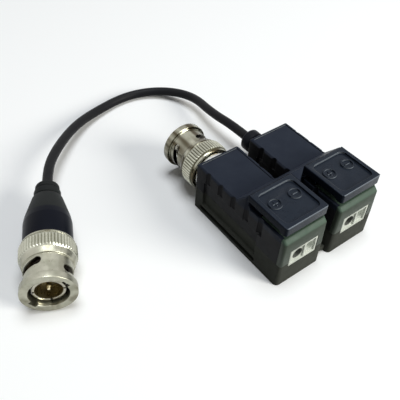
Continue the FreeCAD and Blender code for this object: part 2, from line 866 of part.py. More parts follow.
def circuit_board(unit):
    """Plain board on the four posts."""
    label = f"{unit}_circuit_board"
    board = doc.addObject("Part::Box", label)
    bind(board, "Length", "unit_width - 2 * wall - 2 * board_margin")
    bind(board, "Width", "board_back - board_front")
    bind(board, "Height", "board_thickness")
    bind(board, "Placement.Base.x", f"{UNIT_X[unit]} + wall + board_margin")
    bind(board, "Placement.Base.y", "board_front - origin_y")
    bind(board, "Placement.Base.z", "board_bottom")
    return node(board, label)


def ring_part(name, inner, outer, height):
    """Flat ring made of two bound cylinders."""
    disc = doc.addObject("Part::Cylinder", f"{name}_disc")
    bind(disc, "Radius", outer)
    bind(disc, "Height", height)
    hole = doc.addObject("Part::Cylinder", f"{name}_hole")
    bind(hole, "Radius", inner)
    bind(hole, "Height", height)
    ring = doc.addObject("Part::Cut", name)
    ring.Base = disc
    ring.Tool = hole
    return ring


def transformer_core(unit):
    """Ferrite ring that lies on the board inside its winding."""
    label = f"{unit}_transformer_core"
    ring = ring_part(label, "core_inner", "core_outer", "core_height")
    bind(ring, "Placement.Base.x", f"{UNIT_X[unit]} + unit_middle")
    bind(ring, "Placement.Base.y", "core_place - origin_y")
    bind(ring, "Placement.Base.z", "board_top + turn_wire + running_clearance")
    return node(ring, label)


def transformer_winding(unit):
    """Turns of wire round the core, each a closed loop of its own."""
    label = f"{unit}_transformer_winding"
    gap = "running_clearance"
    inner = f"core_inner - {gap}"
    outer = f"core_outer + {gap}"
    low = "turn_wire"
    high = f"turn_wire + core_height + 2 * {gap}"
    body = new_body(label)
    loop = outline(body, f"{label}_loop", "XZ",
                   rectangle(f"{inner} - turn_wire", "0", f"{outer} + turn_wire",
                             f"{high} + turn_wire"), "-turn_width / 2")
    turn = pad(body, loop, "turn_width")
    doc.recompute()
    hole = outline(body, f"{label}_hole", "XZ", rectangle(inner, low, outer, high),
                   "-turn_width / 2")
    pocket(body, hole, "turn_width")
    doc.recompute()
    one = body.Shape.copy()
    one.Placement = FreeCAD.Placement()
    body.Label = f"{label}_turn"
    count = int(mm("turn_count"))
    axis = FreeCAD.Vector(0, 0, 1)
    turns = []
    for index in range(count):
        copy = one.copy()
        copy.rotate(FreeCAD.Vector(), axis, 360 * index / count)
        turns.append(copy)
    winding = doc.addObject("Part::Feature", label)
    winding.Shape = Part.Compound(turns)
    bind(winding, "Placement.Base.x", f"{UNIT_X[unit]} + unit_middle")
    bind(winding, "Placement.Base.y", "core_place - origin_y")
    bind(winding, "Placement.Base.z", "board_top")
    return node(winding, label)


def surge_suppressor(unit):
    """Small round surge part that lies across the board."""
    label = f"{unit}_surge_suppressor"
    item = doc.addObject("Part::Cylinder", label)
    bind(item, "Radius", "suppressor_radius")
    bind(item, "Height", "suppressor_length")
    item.Placement = FreeCAD.Placement(
        FreeCAD.Vector(), FreeCAD.Rotation(FreeCAD.Vector(0, 1, 0), 90))
    bind(item, "Placement.Base.x", f"{UNIT_X[unit]} + unit_middle - suppressor_length / 2")
    bind(item, "Placement.Base.y", "suppressor_place + suppressor_radius - origin_y")
    bind(item, "Placement.Base.z", "board_top + suppressor_radius")
    return node(item, label)


# Bayonet plugs

def turned_part(label, plug, points, turn=None):
    """Solid turned about a plug's axis from points of axial place and radius."""
    body = new_body(label)
    spin(body, outline(body, f"{label}_section", "XY", points, "0", turn))
    stand_on_plug(body, plug)
    return body


def coupling_sleeve(plug):
    """Knurled sleeve with a front flange, bayonet entries and slots in its barrel."""
    label = f"{plug}_coupling_sleeve"
    edge = "small_edge"
    points = [
        ("0", f"bayonet_bore + {edge}"), ("0", f"flange_radius - {edge}"),
        (edge, "flange_radius"), (f"flange_thickness - {edge}", "flange_radius"),
        ("flange_thickness", f"flange_radius - {edge}"), ("flange_thickness", "barrel_radius"),
        ("shoulder_start", "barrel_radius"), ("shoulder_start", f"barrel_radius + {edge}"),
        ("knurl_start", "knurl_radius"), ("knurl_end", "knurl_radius"),
        ("sleeve_end", "band_radius"), ("sleeve_end", "lip_bore"), ("lip_front", "lip_bore"),
        ("lip_front", "sleeve_bore"), ("chamber_start", "sleeve_bore"),
        ("chamber_start", "bayonet_bore"), (edge, "bayonet_bore"),
    ]
    body = turned_part(label, plug, points, "section_turn")
    bayonet_slots(body)
    tooth = [("-knurl_depth", "knurl_radius + knurl_depth"), ("0", "knurl_radius - knurl_depth"),
             ("knurl_depth", "knurl_radius + knurl_depth")]
    mark = outline(body, f"{label}_tooth", "YZ", tooth, "knurl_start + knurl_depth")
    first = pocket(body, mark, "knurl_end - knurl_start - 2 * knurl_depth")
    repeat_round(body, first, "X_Axis", "knurl_count")
    return node(body, label)


def bayonet_slots(body):
    """Entry groove from the front, then a slot that climbs round to a detent hole, twice.

    Angles lie between 0 and 180 degrees from the top of the sleeve, about its axis.
    """
    entry = rectangle("-overcut", "-entry_width / 2", "entry_length", "entry_width / 2")
    last = "slot_start + slot_travel"
    climb = [("slot_start - slot_width / 2", "slot_reach"),
             ("slot_start + slot_width / 2", "slot_reach"),
             (f"{last} + slot_width / 2", "-slot_reach"),
             (f"{last} - slot_width / 2", "-slot_reach")]
    detent_angle = "entry_angle + slot_turn"
    marks = {
        outline(body, f"{body.Name}_entry", "XY", entry, "0", "entry_angle"): "entry_radius",
        outline(body, f"{body.Name}_climb", "XY", climb, "0",
                "entry_angle + slot_turn / 2"): "flange_radius",
        circles(body, f"{body.Name}_detent", "XY", [(last, "0", "detent_radius")], "0",
                detent_angle): "flange_radius",
    }
    for mark, reach in marks.items():
        repeat_round(body, pocket(body, mark, reach), "X_Axis", "2")


def plug_body(plug, end):
    """Slotted contact ring, shoulder, neck and stub in one turned piece."""
    label = f"{plug}_plug_body"
    points = [
        ("contact_setback", "contact_bore"), ("contact_setback", "contact_radius"),
        ("shoulder_front", "contact_radius"), ("shoulder_front", "shoulder_radius"),
        ("shoulder_back", "shoulder_radius"), ("shoulder_back", "neck_radius"),
        ("neck_end", "neck_radius"), ("neck_end", "stub_radius"), (end, "stub_radius"),
        (end, "core_bore"), ("contact_depth", "core_bore"), ("contact_depth", "contact_bore"),
    ]
    body = turned_part(label, plug, points)
    slot = rectangle("contact_setback - overcut", "-contact_slot / 2", "contact_slot_end",
                     "contact_slot / 2")
    for plane in ("XY", "XZ"):
        mark = outline(body, f"{label}_slot_{plane.lower()}", plane, slot, "-shoulder_radius")
        pocket(body, mark, "2 * shoulder_radius")
    return node(body, label)


def insulator(plug, end):
    """White sleeve that holds the pin in the middle of the plug body."""
    label = f"{plug}_insulator"
    bore = "pin_radius + running_clearance"
    points = [
        ("insulator_face", bore), ("insulator_face", "contact_bore - running_clearance"),
        ("contact_depth", "contact_bore - running_clearance"),
        ("contact_depth", "core_bore - running_clearance"),
        (end, "core_bore - running_clearance"), (end, bore),
    ]
    return node(turned_part(label, plug, points), label)


def centre_pin(plug, end):
    """Contact pin with a tapered tip."""
    label = f"{plug}_centre_pin"
    points = [
        ("pin_setback", "0"), ("pin_setback", "pin_radius / 2"),
        ("pin_setback + pin_radius", "pin_radius"), (end, "pin_radius"), (end, "0"),
    ]
    return node(turned_part(label, plug, points), label)


def gasket(plug):
    """Soft ring against the front of the plug body's shoulder."""
    label = f"{plug}_gasket"
    inner = "contact_radius + running_clearance"
    outer = "bayonet_bore - 2 * running_clearance"
    points = [
        ("shoulder_front - gasket_thickness", inner), ("shoulder_front - gasket_thickness", outer),
        ("shoulder_front", outer), ("shoulder_front", inner),
    ]
    return node(turned_part(label, plug, points), label)


def spring_washer(plug):
    """Cone washer between the shoulder and the lip of the sleeve."""
    label = f"{plug}_spring_washer"
    inner = "neck_radius + 2 * running_clearance"
    outer = "shoulder_radius - running_clearance"
    back = "lip_front - running_clearance"
    points = [
        (f"{back} - washer_cone", inner), (f"{back} - washer_thickness", outer),
        (back, outer), (f"{back} - washer_cone + washer_thickness", inner),
    ]
    return node(turned_part(label, plug, points), label)


def rear_collar():
    """Ring behind the fixed plug's sleeve, tight against the housing."""
    label = "fixed_rear_collar"
    bore = "neck_radius + running_clearance"
    points = [
        ("collar_start", bore), ("collar_start", "collar_radius"),
        ("neck_end", "collar_radius"), ("neck_end", bore),
    ]
    return node(turned_part(label, "fixed", points), label)


def mounting_nut():
    """Six-sided nut on the stub inside the left unit's back wall."""
    label = "fixed_mounting_nut"
    prism = doc.addObject("Part::Prism", f"{label}_block")
    prism.Polygon = 6
    bind(prism, "Circumradius", "nut_radius")
    bind(prism, "Height", "nut_thickness")
    hole = doc.addObject("Part::Cylinder", f"{label}_hole")
    bind(hole, "Radius", "stub_radius + running_clearance")
    bind(hole, "Height", "nut_thickness")
    nut = doc.addObject("Part::Cut", label)
    nut.Base = prism
    nut.Tool = hole
    nut.Placement = FreeCAD.Placement(
        FreeCAD.Vector(), FreeCAD.Rotation(FreeCAD.Vector(1, 0, 0), 90))
    bind(nut, "Placement.Base.x", PLUGS["fixed"]["x"])
    bind(nut, "Placement.Base.y", "back_wall - origin_y")
    bind(nut, "Placement.Base.z", "fixed_axis_z")
    return node(nut, label)


def crimp_ferrule():
    """Sleeve on the free plug's neck and stub, inside the boot."""
    label = "free_crimp_ferrule"
    bore = "neck_radius + running_clearance"
    points = [
        ("collar_start", bore), ("collar_start", "ferrule_radius"),
        ("ferrule_end", "ferrule_radius"), ("ferrule_end", "stub_radius + running_clearance"),
        ("neck_end", "stub_radius + running_clearance"), ("neck_end", bore),
    ]
    return node(turned_part(label, "free", points), label)


def strain_boot():
    """Moulded boot: a cylinder, a long cone, and two rings before the cord."""
    label = "free_strain_boot"
    inner = "ferrule_radius + running_clearance"
    points = [
        ("boot_start", inner), ("boot_start", "boot_radius"), ("boot_cone_start", "boot_radius"),
        ("boot_cone_shoulder", "boot_shoulder_radius"), ("boot_cone_end", "boot_cone_radius"),
        ("boot_cone_end", "boot_waist_radius"), ("boot_ring_start", "boot_waist_radius"),
        ("boot_ring_start", "boot_ring_radius"), ("boot_ring_end", "boot_ring_radius"),
        ("boot_ring_end", "boot_waist_radius"), ("boot_tail_start", "boot_waist_radius"),
        ("boot_tail_start", "boot_tail_radius"),
        ("boot_end - boot_tail_round", "boot_tail_radius"),
        ("boot_end", "boot_tail_radius - boot_tail_round"), ("boot_end", "0"),
        ("ferrule_end + running_clearance", "0"), ("ferrule_end + running_clearance", inner),
    ]
    return node(turned_part(label, "free", points), label)


def cord_gland():
    """Moulded bush in the right unit's back wall: flange, neck, waist and collar."""
    label = "cord_gland"
    body = new_body(label)
    inside = "-wall - fit_clearance - wall"
    round_edge = "gland_round"
    points = [
        (inside, "0"), (inside, "gland_flange_radius"),
        ("-wall - fit_clearance", "gland_flange_radius"),
        ("-wall - fit_clearance", "gland_neck_radius"), ("0", "gland_neck_radius"),
        ("0", "gland_waist_radius"), ("gland_collar_start", "gland_waist_radius"),
        ("gland_collar_start", f"gland_collar_radius - {round_edge}"),
        (f"gland_collar_start + {round_edge}", "gland_collar_radius"),
        (f"gland_collar_end - {round_edge}", "gland_collar_radius"),
        ("gland_collar_end", f"gland_collar_radius - {round_edge}"), ("gland_collar_end", "0"),
    ]
    spin(body, outline(body, f"{label}_section", "XY", points))
    body.Placement = FreeCAD.Placement(
        FreeCAD.Vector(), FreeCAD.Rotation(FreeCAD.Vector(0, 0, 1), 90))
    bind(body, "Placement.Base.x", f"{UNIT_X['right']} + gland_x")
    bind(body, "Placement.Base.y", "unit_length - origin_y")
    bind(body, "Placement.Base.z", "gland_axis_z")
    return node(body, label)


# Cord

def cord_points():
    """Corners of the cord's route: straight out of the boot, round, and into the gland."""
    heading = math.radians(mm(PLUGS["free"]["turn"]))
    along = FreeCAD.Vector(math.cos(heading), math.sin(heading), 0)
    plug = FreeCAD.Vector(*(mm(PLUGS["free"][axis]) for axis in ("x", "y", "z")))
    gland = FreeCAD.Vector(mm(f"{UNIT_X['right']} + gland_x"),
                           mm("unit_length + gland_collar_end - origin_y"), mm("gland_axis_z"))
    corner = FreeCAD.Vector(mm(UNIT_X["left"]), mm("-origin_y"), 0)
    start = plug + along * mm("boot_end")
    middle = [corner + FreeCAD.Vector(*point) for point in CORD_ROUTE]
    return [start, start + along * mm("boot_exit"), *middle,
            gland + FreeCAD.Vector(0, mm("gland_exit"), 0), gland]


def pigtail_cord():
    """Round cord on straight runs joined by arcs as large as the runs allow."""
    points = cord_points()
    edges = []
    at = points[0]
    for before, point, after in zip(points, points[1:], points[2:]):
        back, ahead = before - point, after - point
        reach = RUN_SHARE * min(back.Length, ahead.Length)
        back.normalize()
        ahead.normalize()
        half_turn = (math.pi - back.getAngle(ahead)) / 2
        radius = reach / math.tan(half_turn)
        print(f"cord radius {radius:.1f} mm, turn {math.degrees(2 * half_turn):.1f} degrees")
        inward = (back + ahead).normalize()
        summit = point + inward * (math.hypot(reach, radius) - radius)
        arc_start, arc_end = point + back * reach, point + ahead * reach
        edges.append(Part.makeLine(at, arc_start))
        edges.append(Part.Arc(arc_start, summit, arc_end).toShape())
        at = arc_end
    edges.append(Part.makeLine(at, points[-1]))
    path = Part.Wire(edges)
    ring = Part.makeCircle(mm("cord_radius"), points[0], points[1] - points[0])
    tube = path.makePipeShell([Part.Wire([ring])], True, False)
    expected = math.pi * mm("cord_radius") ** 2 * path.Length
    print(f"cord length {path.Length:.1f} mm, volume {tube.Volume:.1f} of {expected:.1f} mm3")
    if abs(tube.Volume / expected - 1) > 0.01:
        raise ValueError("the cord's volume is not its section times its length")
    cord = doc.addObject("Part::Feature", "pigtail_cord")
    cord.Shape = tube
    return node(cord, "pigtail_cord")


# Build

for unit in UNIT_X:
    lower_shell(unit)
    upper_shell(unit)
    terminal_block(unit)
    wire_guide(unit)
    press_lever(unit)
    for wire in WIRES:
        clamp_spring(unit, wire)
        contact_bar(unit, wire)
    circuit_board(unit)
    transformer_core(unit)
    transformer_winding(unit)
    surge_suppressor(unit)
joining_clip()

for plug, ends in {"fixed": ("stub_end", "fixed_pin_end"),
                   "free": ("ferrule_end", "ferrule_end")}.items():
    body_end, pin_end = ends
    coupling_sleeve(plug)
    plug_body(plug, body_end)
    insulator(plug, body_end)
    centre_pin(plug, pin_end)
    gasket(plug)
    spring_washer(plug)
rear_collar()
mounting_nut()
crimp_ferrule()
strain_boot()
cord_gland()
doc.recompute()
pigtail_cord()

# Check and write

for item in doc.Objects:
    if "Invalid" in item.State or "Error" in item.State:
        raise ValueError(f"{item.Label} did not build: {item.State}")
os.makedirs("parts", exist_ok=True)
for item in nodes:
    shape = item.Shape
    if shape.isNull() or not shape.isValid():
        raise ValueError(f"{item.Label} has no valid shape")
    shape.exportStep(f"parts/{item.Label}.step")
print(len(nodes), "nodes")
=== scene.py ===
"""Looks for a pair of passive video baluns: two clipped housings, a fixed plug and a pigtail.

Sizes are in millimetres and angles in degrees, unless a comment or docstring says otherwise.
"""

import json
import logging
import math
from dataclasses import dataclass
from enum import Enum
from functools import partial
from typing import Callable, Sequence

import bmesh
import bpy
from mathutils import Matrix, Vector
from mathutils.bvhtree import BVHTree
from mathutils.interpolate import poly_3d_calc


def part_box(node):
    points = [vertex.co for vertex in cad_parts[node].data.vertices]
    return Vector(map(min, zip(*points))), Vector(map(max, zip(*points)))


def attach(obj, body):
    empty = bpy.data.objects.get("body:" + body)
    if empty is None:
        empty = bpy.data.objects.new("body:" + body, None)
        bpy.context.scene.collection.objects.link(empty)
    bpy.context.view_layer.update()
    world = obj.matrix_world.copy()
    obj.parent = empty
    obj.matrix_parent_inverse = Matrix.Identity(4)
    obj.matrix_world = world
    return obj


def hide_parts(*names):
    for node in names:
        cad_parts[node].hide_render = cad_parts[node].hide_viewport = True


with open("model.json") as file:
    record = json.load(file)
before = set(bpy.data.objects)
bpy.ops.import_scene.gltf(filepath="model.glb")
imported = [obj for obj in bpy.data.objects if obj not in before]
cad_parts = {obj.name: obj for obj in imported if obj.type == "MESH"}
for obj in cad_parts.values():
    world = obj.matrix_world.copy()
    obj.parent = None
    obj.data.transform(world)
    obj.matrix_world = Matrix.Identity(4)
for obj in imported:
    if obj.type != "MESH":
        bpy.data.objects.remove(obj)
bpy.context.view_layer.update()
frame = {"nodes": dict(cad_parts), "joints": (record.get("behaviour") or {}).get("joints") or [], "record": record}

logging.basicConfig(level=logging.INFO, format="%(message)s")
LOG = logging.getLogger("balun_pair")

Piece = bpy.types.Object
Socket = bpy.types.NodeSocket
Material = bpy.types.Material
Shape = bmesh.types.BMesh
Place = tuple[float, float, float]
Colour = tuple[float, float, float]
Span = tuple[float, float]

MM = 0.001
ROOF_HEIGHT = 16.0

# Just above the lower edge of the terminal blocks' bevel; their faces below it get painted shade
BEVEL_HEIGHT = 16.5

# Front left lower corner of the left unit
UNIT_CORNER = Vector((-20.25, -26.6, 0.0))

# Angle past which an edge stays sharp in the shading
CREASE = 35.0

# Share of a side that one rounded corner may take
MOST_OF_SIDE = 0.4

# Marks on faces: front-facing small walls and rounded edges that get a painted highlight, and faces left matt by a
# rougher wall of the mould
HIGHLIGHT_MARK = "painted_highlight"
MATT = "matt"


class Side(Enum):
    """The two housings of the pair."""

    LEFT = "left"
    RIGHT = "right"


class Kind(Enum):
    """The two plugs: one fixed on the left housing, one free on the pigtail."""

    FIXED = "fixed"
    FREE = "free"


@dataclass(frozen=True)
class Axis:
    """Turning axis: its starting point in metres, and its direction from X in radians."""

    start: Place = (0.0, 0.0, 0.0)
    turn: float = 0.0


# Finishes


class Tree:
    """Short way to fill a node tree."""

    def __init__(self, tree: bpy.types.NodeTree) -> None:
        """Keep the tree that the nodes go into."""
        self.tree = tree

    def feed(self, target: Socket, value: object) -> None:
        """Give an input its value.

        Args:
            target: Input of a node.
            value: Output of another node, or a plain value.
        """
        if isinstance(value, Socket):
            self.tree.links.new(value, target)
        else:
            target.default_value = value

    def add(self, kind: str, given: dict[str | int, object],
            **settings: object) -> bpy.types.Node:
        """Add a node, set its properties and feed its inputs.

        Args:
            kind: Type of the node.
            given: Outputs of other nodes or plain values, by the name or number of the input.
            settings: Property values by name.

        Returns:
            The new node.
        """
        made = self.tree.nodes.new(kind)
        for name, value in settings.items():
            setattr(made, name, value)
        for name, value in given.items():
            self.feed(made.inputs[name], value)
        return made

    def math(self, operation: str, *values: object) -> Socket:
        """Reckon with one or two values, each an output or a number."""
        made = self.add("ShaderNodeMath", dict(enumerate(values)), operation=operation)
        return made.outputs["Value"]

    def spread(self, source: Socket, low: float, high: float, start: float = 0.3,
               end: float = 0.7) -> Socket:
        """Map a range of a texture's values to another range, and hold its ends past that.

        Args:
            source: Texture value.
            low: Result at the start of the range.
            high: Result at its end.
            start: Texture value that gives low.
            end: Texture value that gives high.

        Returns:
            The output with the result.
        """
        made = self.add("ShaderNodeMapRange", {"Value": source, "From Min": start,
                                               "From Max": end, "To Min": low, "To Max": high})
        return made.outputs["Result"]

    def shows_white(self) -> Socket:
        """Tell the rays that see white paper, of the camera and of glossy surfaces."""
        rays = self.add("ShaderNodeLightPath", {}).outputs
        return self.math("MAXIMUM", rays["Is Camera Ray"], rays["Is Glossy Ray"])


class Nodes(Tree):
    """Short way to build one material."""

    def __init__(self, name: str) -> None:
        """Start a material with one Principled surface.

        Args:
            name: Name of the material.
        """
        self.material = bpy.data.materials.new(name)
        self.material.use_nodes = True
        super().__init__(self.material.node_tree)
        self.surface = self.tree.nodes["Principled BSDF"].inputs
        self.place = self.add("ShaderNodeTexCoord", {}).outputs["Object"]

    def along_axis(self, axis: Axis, unit: Place) -> Socket:
        """Object coordinates in the frame of a turning axis.

        Args:
            axis: The axis.
            unit: Length of one unit along each direction, in metres.

        Returns:
            The output with the coordinates.
        """
        made = self.add("ShaderNodeMapping", {
            "Location": axis.start, "Rotation": (0.0, 0.0, axis.turn), "Scale": unit,
            "Vector": self.place}, vector_type="TEXTURE")
        return made.outputs["Vector"]

    def about_axis(self, axis: Axis) -> tuple[Socket, Socket]:
        """Measure along a turning axis and out from it.

        Args:
            axis: The axis.

        Returns:
            The outputs with the axial place and with the radius.
        """
        moved = self.along_axis(axis, (MM, MM, MM))
        parts = self.add("ShaderNodeSeparateXYZ", {"Vector": moved}).outputs
        across = self.add("ShaderNodeCombineXYZ", {"Y": parts["Y"], "Z": parts["Z"]})
        radius = self.add("ShaderNodeVectorMath", {0: across.outputs["Vector"]},
                          operation="LENGTH")
        return parts["X"], radius.outputs["Value"]

    def soften(self, radius: float) -> None:
        """Round the shading of sharp edges."""
        edge = self.add("ShaderNodeBevel", {"Radius": radius * MM}, samples=6)
        self.feed(self.surface["Normal"], edge.outputs["Normal"])

    def noise(self, scale: float, detail: float, place: Socket | None = None,
              seed: float | None = None) -> Socket:
        """Noise over the object's own coordinates or over given ones.

        Args:
            scale: Features in one unit of the coordinates, which is a metre on the object's own.
            detail: Octaves of finer noise.
            place: Other coordinates.
            seed: Place along a fourth direction, where the noise has one.

        Returns:
            The output with the noise from 0 to 1.
        """
        given = {"Scale": scale, "Detail": detail,
                 "Vector": self.place if place is None else place}
        if seed is not None:
            given["W"] = seed
        made = self.add("ShaderNodeTexNoise", given,
                        noise_dimensions="3D" if seed is None else "4D")
        return made.outputs["Fac"]

    def marked(self, name: str) -> Socket:
        """Read a mark on the faces, as 1 where they have it."""
        return self.add("ShaderNodeAttribute", {}, attribute_name=name).outputs["Fac"]

    def mix(self, share: Socket, first: Colour | Socket, second: Colour) -> Socket:
        """Mix two colours by a texture.

        Args:
            share: Share of the second colour.
            first: Colour at 0, plain or from another node.
            second: Colour at 1.

        Returns:
            The output with the colour.
        """
        if isinstance(first, tuple):
            first = (*first, 1.0)
        made = self.add("ShaderNodeMix", {"Factor": share, "A": first, "B": (*second, 1.0)},
                        data_type="RGBA")
        return made.outputs["Result"]

    def clouded(self, per_mm: float, first: Colour, second: Colour) -> Socket:
        """Mix two colours in slow clouds."""
        share = self.spread(self.noise(per_mm / MM, detail=4.0), 0.0, 1.0)
        return self.mix(share, first, second)

    def smear(self, per_mm: float, middle: float, reach: float) -> None:
        """Let the roughness wander to both sides of a middle value.

        Args:
            per_mm: Smears in a millimetre.
            middle: Middle value.
            reach: How far it wanders from that.
        """
        cloud = self.noise(per_mm / MM, detail=5.0)
        wander = self.spread(cloud, middle - reach, middle + reach)
        self.feed(self.surface["Roughness"], wander)

    def bump(self, height: Socket, depth: float, strength: float) -> None:
        """Raise the surface by a texture, on top of any softened edges.

        Args:
            height: Height from 0 to 1.
            depth: Height of the relief.
            strength: Share of the relief that shows.
        """
        relief = self.add("ShaderNodeBump", {"Distance": depth * MM, "Strength": strength,
                                             "Height": height})
        normal = self.surface["Normal"]
        if normal.is_linked:
            self.feed(relief.inputs["Normal"], normal.links[0].from_socket)
        self.feed(normal, relief.outputs["Normal"])


@dataclass(frozen=True)
class MouldedPlastic:
    """Moulded plastic or rubber with a fine grain and a faint cloudiness; where asked, with painted shade on its
    sides, a painted highlight on marked faces and a painted reflection tint.
    """

    name: str
    colour: Colour
    wear_and_sheen: Colour
    roughness: float = 0.42
    specular: float = 0.5
    # Tint of the glossy reflections; a blue one is a painted reflection of cool light from above
    reflection_tint: Colour = (1.0, 1.0, 1.0)
    matt: float | None = None
    # Lighter colour on marked faces: a painted highlight on walls and edges that face the front lamp
    painted_highlight: Colour | None = None
    # Colour below the top: painted shade on the sides, so that tops and sides show as lit and shaded copies of one
    # plastic
    shaded_side_colour: Colour | None = None
    top: float = 0.0
    # Heights from the top between which the painted shade of the sides fades out
    fade: Span = (-0.7, -0.1)
    edge: float = 0.2
    roughness_reach: float = 0.08
    clouds_per_mm: float = 0.22
    smears_per_mm: float = 0.6
    grain_per_mm: float = 9.0
    grain_depth: float = 0.012
    grain_strength: float = 0.6

    def build(self) -> Material:
        """Make the material.

        Returns:
            The finished material.
        """
        nodes = Nodes(self.name)
        surface = nodes.surface
        colour = nodes.clouded(self.clouds_per_mm, self.colour, self.wear_and_sheen)
        # Painted shade: below the top the colour turns to the shaded side colour
        if self.shaded_side_colour:
            height = nodes.add("ShaderNodeSeparateXYZ", {"Vector": nodes.place}).outputs["Z"]
            below = nodes.spread(height, 1.0, 0.0, *((self.top + end) * MM for end in self.fade))
            colour = nodes.mix(below, colour, self.shaded_side_colour)
        # Painted highlight on the marked faces
        if self.painted_highlight:
            colour = nodes.mix(nodes.marked(HIGHLIGHT_MARK), colour, self.painted_highlight)
        nodes.feed(surface["Base Color"], colour)
        # Painted reflection: the gloss takes the tint
        surface["Specular Tint"].default_value = (*self.reflection_tint, 1.0)
        gloss = surface["Specular IOR Level"]
        gloss.default_value = self.specular
        if self.matt is not None:
            nodes.feed(gloss, nodes.spread(nodes.marked(MATT), self.specular, self.matt, 0.0, 1.0))
        nodes.smear(self.smears_per_mm, self.roughness, self.roughness_reach)
        if self.edge:
            nodes.soften(self.edge)
        grain = nodes.noise(self.grain_per_mm / MM, detail=2.0)
        nodes.bump(grain, self.grain_depth, self.grain_strength)
        return nodes.material


@dataclass(frozen=True)
class BootRubber:
    """Moulded rubber with a polished front and a matte, paler cone behind it."""

    name: str
    axis: Axis
    polished: Colour = (0.003, 0.004, 0.008)
    matte: Colour = (0.012, 0.0135, 0.0135)
    polished_roughness: float = 0.3
    matte_roughness: float = 0.55
    change: Span = (23.7, 24.4)
    specular: float = 0.07
    edge: float = 0.2
    grain_per_mm: float = 7.0
    grain_depth: float = 0.012
    grain_strength: float = 0.6

    def build(self) -> Material:
        """Make the material.

        Returns:
            The finished material.
        """
        nodes = Nodes(self.name)
        surface = nodes.surface
        along, _ = nodes.about_axis(self.axis)
        share = nodes.spread(along, 0.0, 1.0, *self.change)
        nodes.feed(surface["Base Color"], nodes.mix(share, self.polished, self.matte))
        nodes.feed(surface["Roughness"], nodes.spread(along, self.polished_roughness,
                                                      self.matte_roughness, *self.change))
        surface["Specular IOR Level"].default_value = self.specular
        nodes.soften(self.edge)
        grain = nodes.noise(self.grain_per_mm / MM, detail=3.0)
        nodes.bump(grain, self.grain_depth, self.grain_strength)
        return nodes.material


@dataclass(frozen=True)
class PlatedMetal:
    """Plated or bare metal with turning lines about an axis and slight tarnish; where asked, with painted shade in
    its hollows and dark streaks of painted reflection.
    """

    name: str
    colour: Colour
    tarnish: Colour
    roughness: float = 0.2
    roughness_reach: float = 0.07
    clouds_per_mm: float = 0.35
    smears_per_mm: float = 1.3
    lines_per_mm: float = 7.0
    line_depth: float = 0.006
    line_strength: float = 0.5
    axis: Axis = Axis()
    # Colour of painted shade in hollows and deep inside, past an axial place and below a radius
    grime: Colour = (0.03, 0.022, 0.012)
    grime_along: Span | None = None
    grime_out: Span | None = None
    # Strength, colour and noise range of dark streaks along the axis: painted reflection of a dark surrounding
    reflection_streaks: float = 0.0
    reflection_colour: Colour = (0.13, 0.115, 0.075)
    reflection_range: Span = (0.46, 0.65)
    # Length and two widths in metres of the field that a few streaks of painted reflection share, and how many
    reflection_field: Place = (0.04, 0.006, 0.006)
    reflections_in_field: float = 1.6
    seed: float = 0.0

    def build(self) -> Material:
        """Make the material.

        Returns:
            The finished material.
        """
        nodes = Nodes(self.name)
        nodes.surface["Metallic"].default_value = 1.0
        colour = nodes.clouded(self.clouds_per_mm, self.colour, self.tarnish)
        along, out = nodes.about_axis(self.axis)
        # Painted reflection: dark streaks along the axis
        if self.reflection_streaks:
            field = nodes.along_axis(self.axis, self.reflection_field)
            noise = nodes.noise(self.reflections_in_field, 2.0, field, self.seed)
            share = nodes.spread(noise, 0.0, self.reflection_streaks, *self.reflection_range)
            colour = nodes.mix(share, colour, self.reflection_colour)
        # Painted shade: darker deeper along the axis, and also below a radius where one is given
        if self.grime_along:
            share = nodes.spread(along, 0.0, 1.0, *self.grime_along)
            if self.grime_out:
                inner = nodes.spread(out, 1.0, 0.0, *self.grime_out)
                share = nodes.math("MULTIPLY", share, inner)
            colour = nodes.mix(share, colour, self.grime)
        nodes.feed(nodes.surface["Base Color"], colour)
        nodes.smear(self.smears_per_mm, self.roughness, self.roughness_reach)
        both = nodes.add("ShaderNodeCombineXYZ", {"X": along, "Y": out})
        lines = nodes.noise(self.lines_per_mm, 3.0, both.outputs["Vector"])
        nodes.bump(lines, self.line_depth, self.line_strength)
        return nodes.material


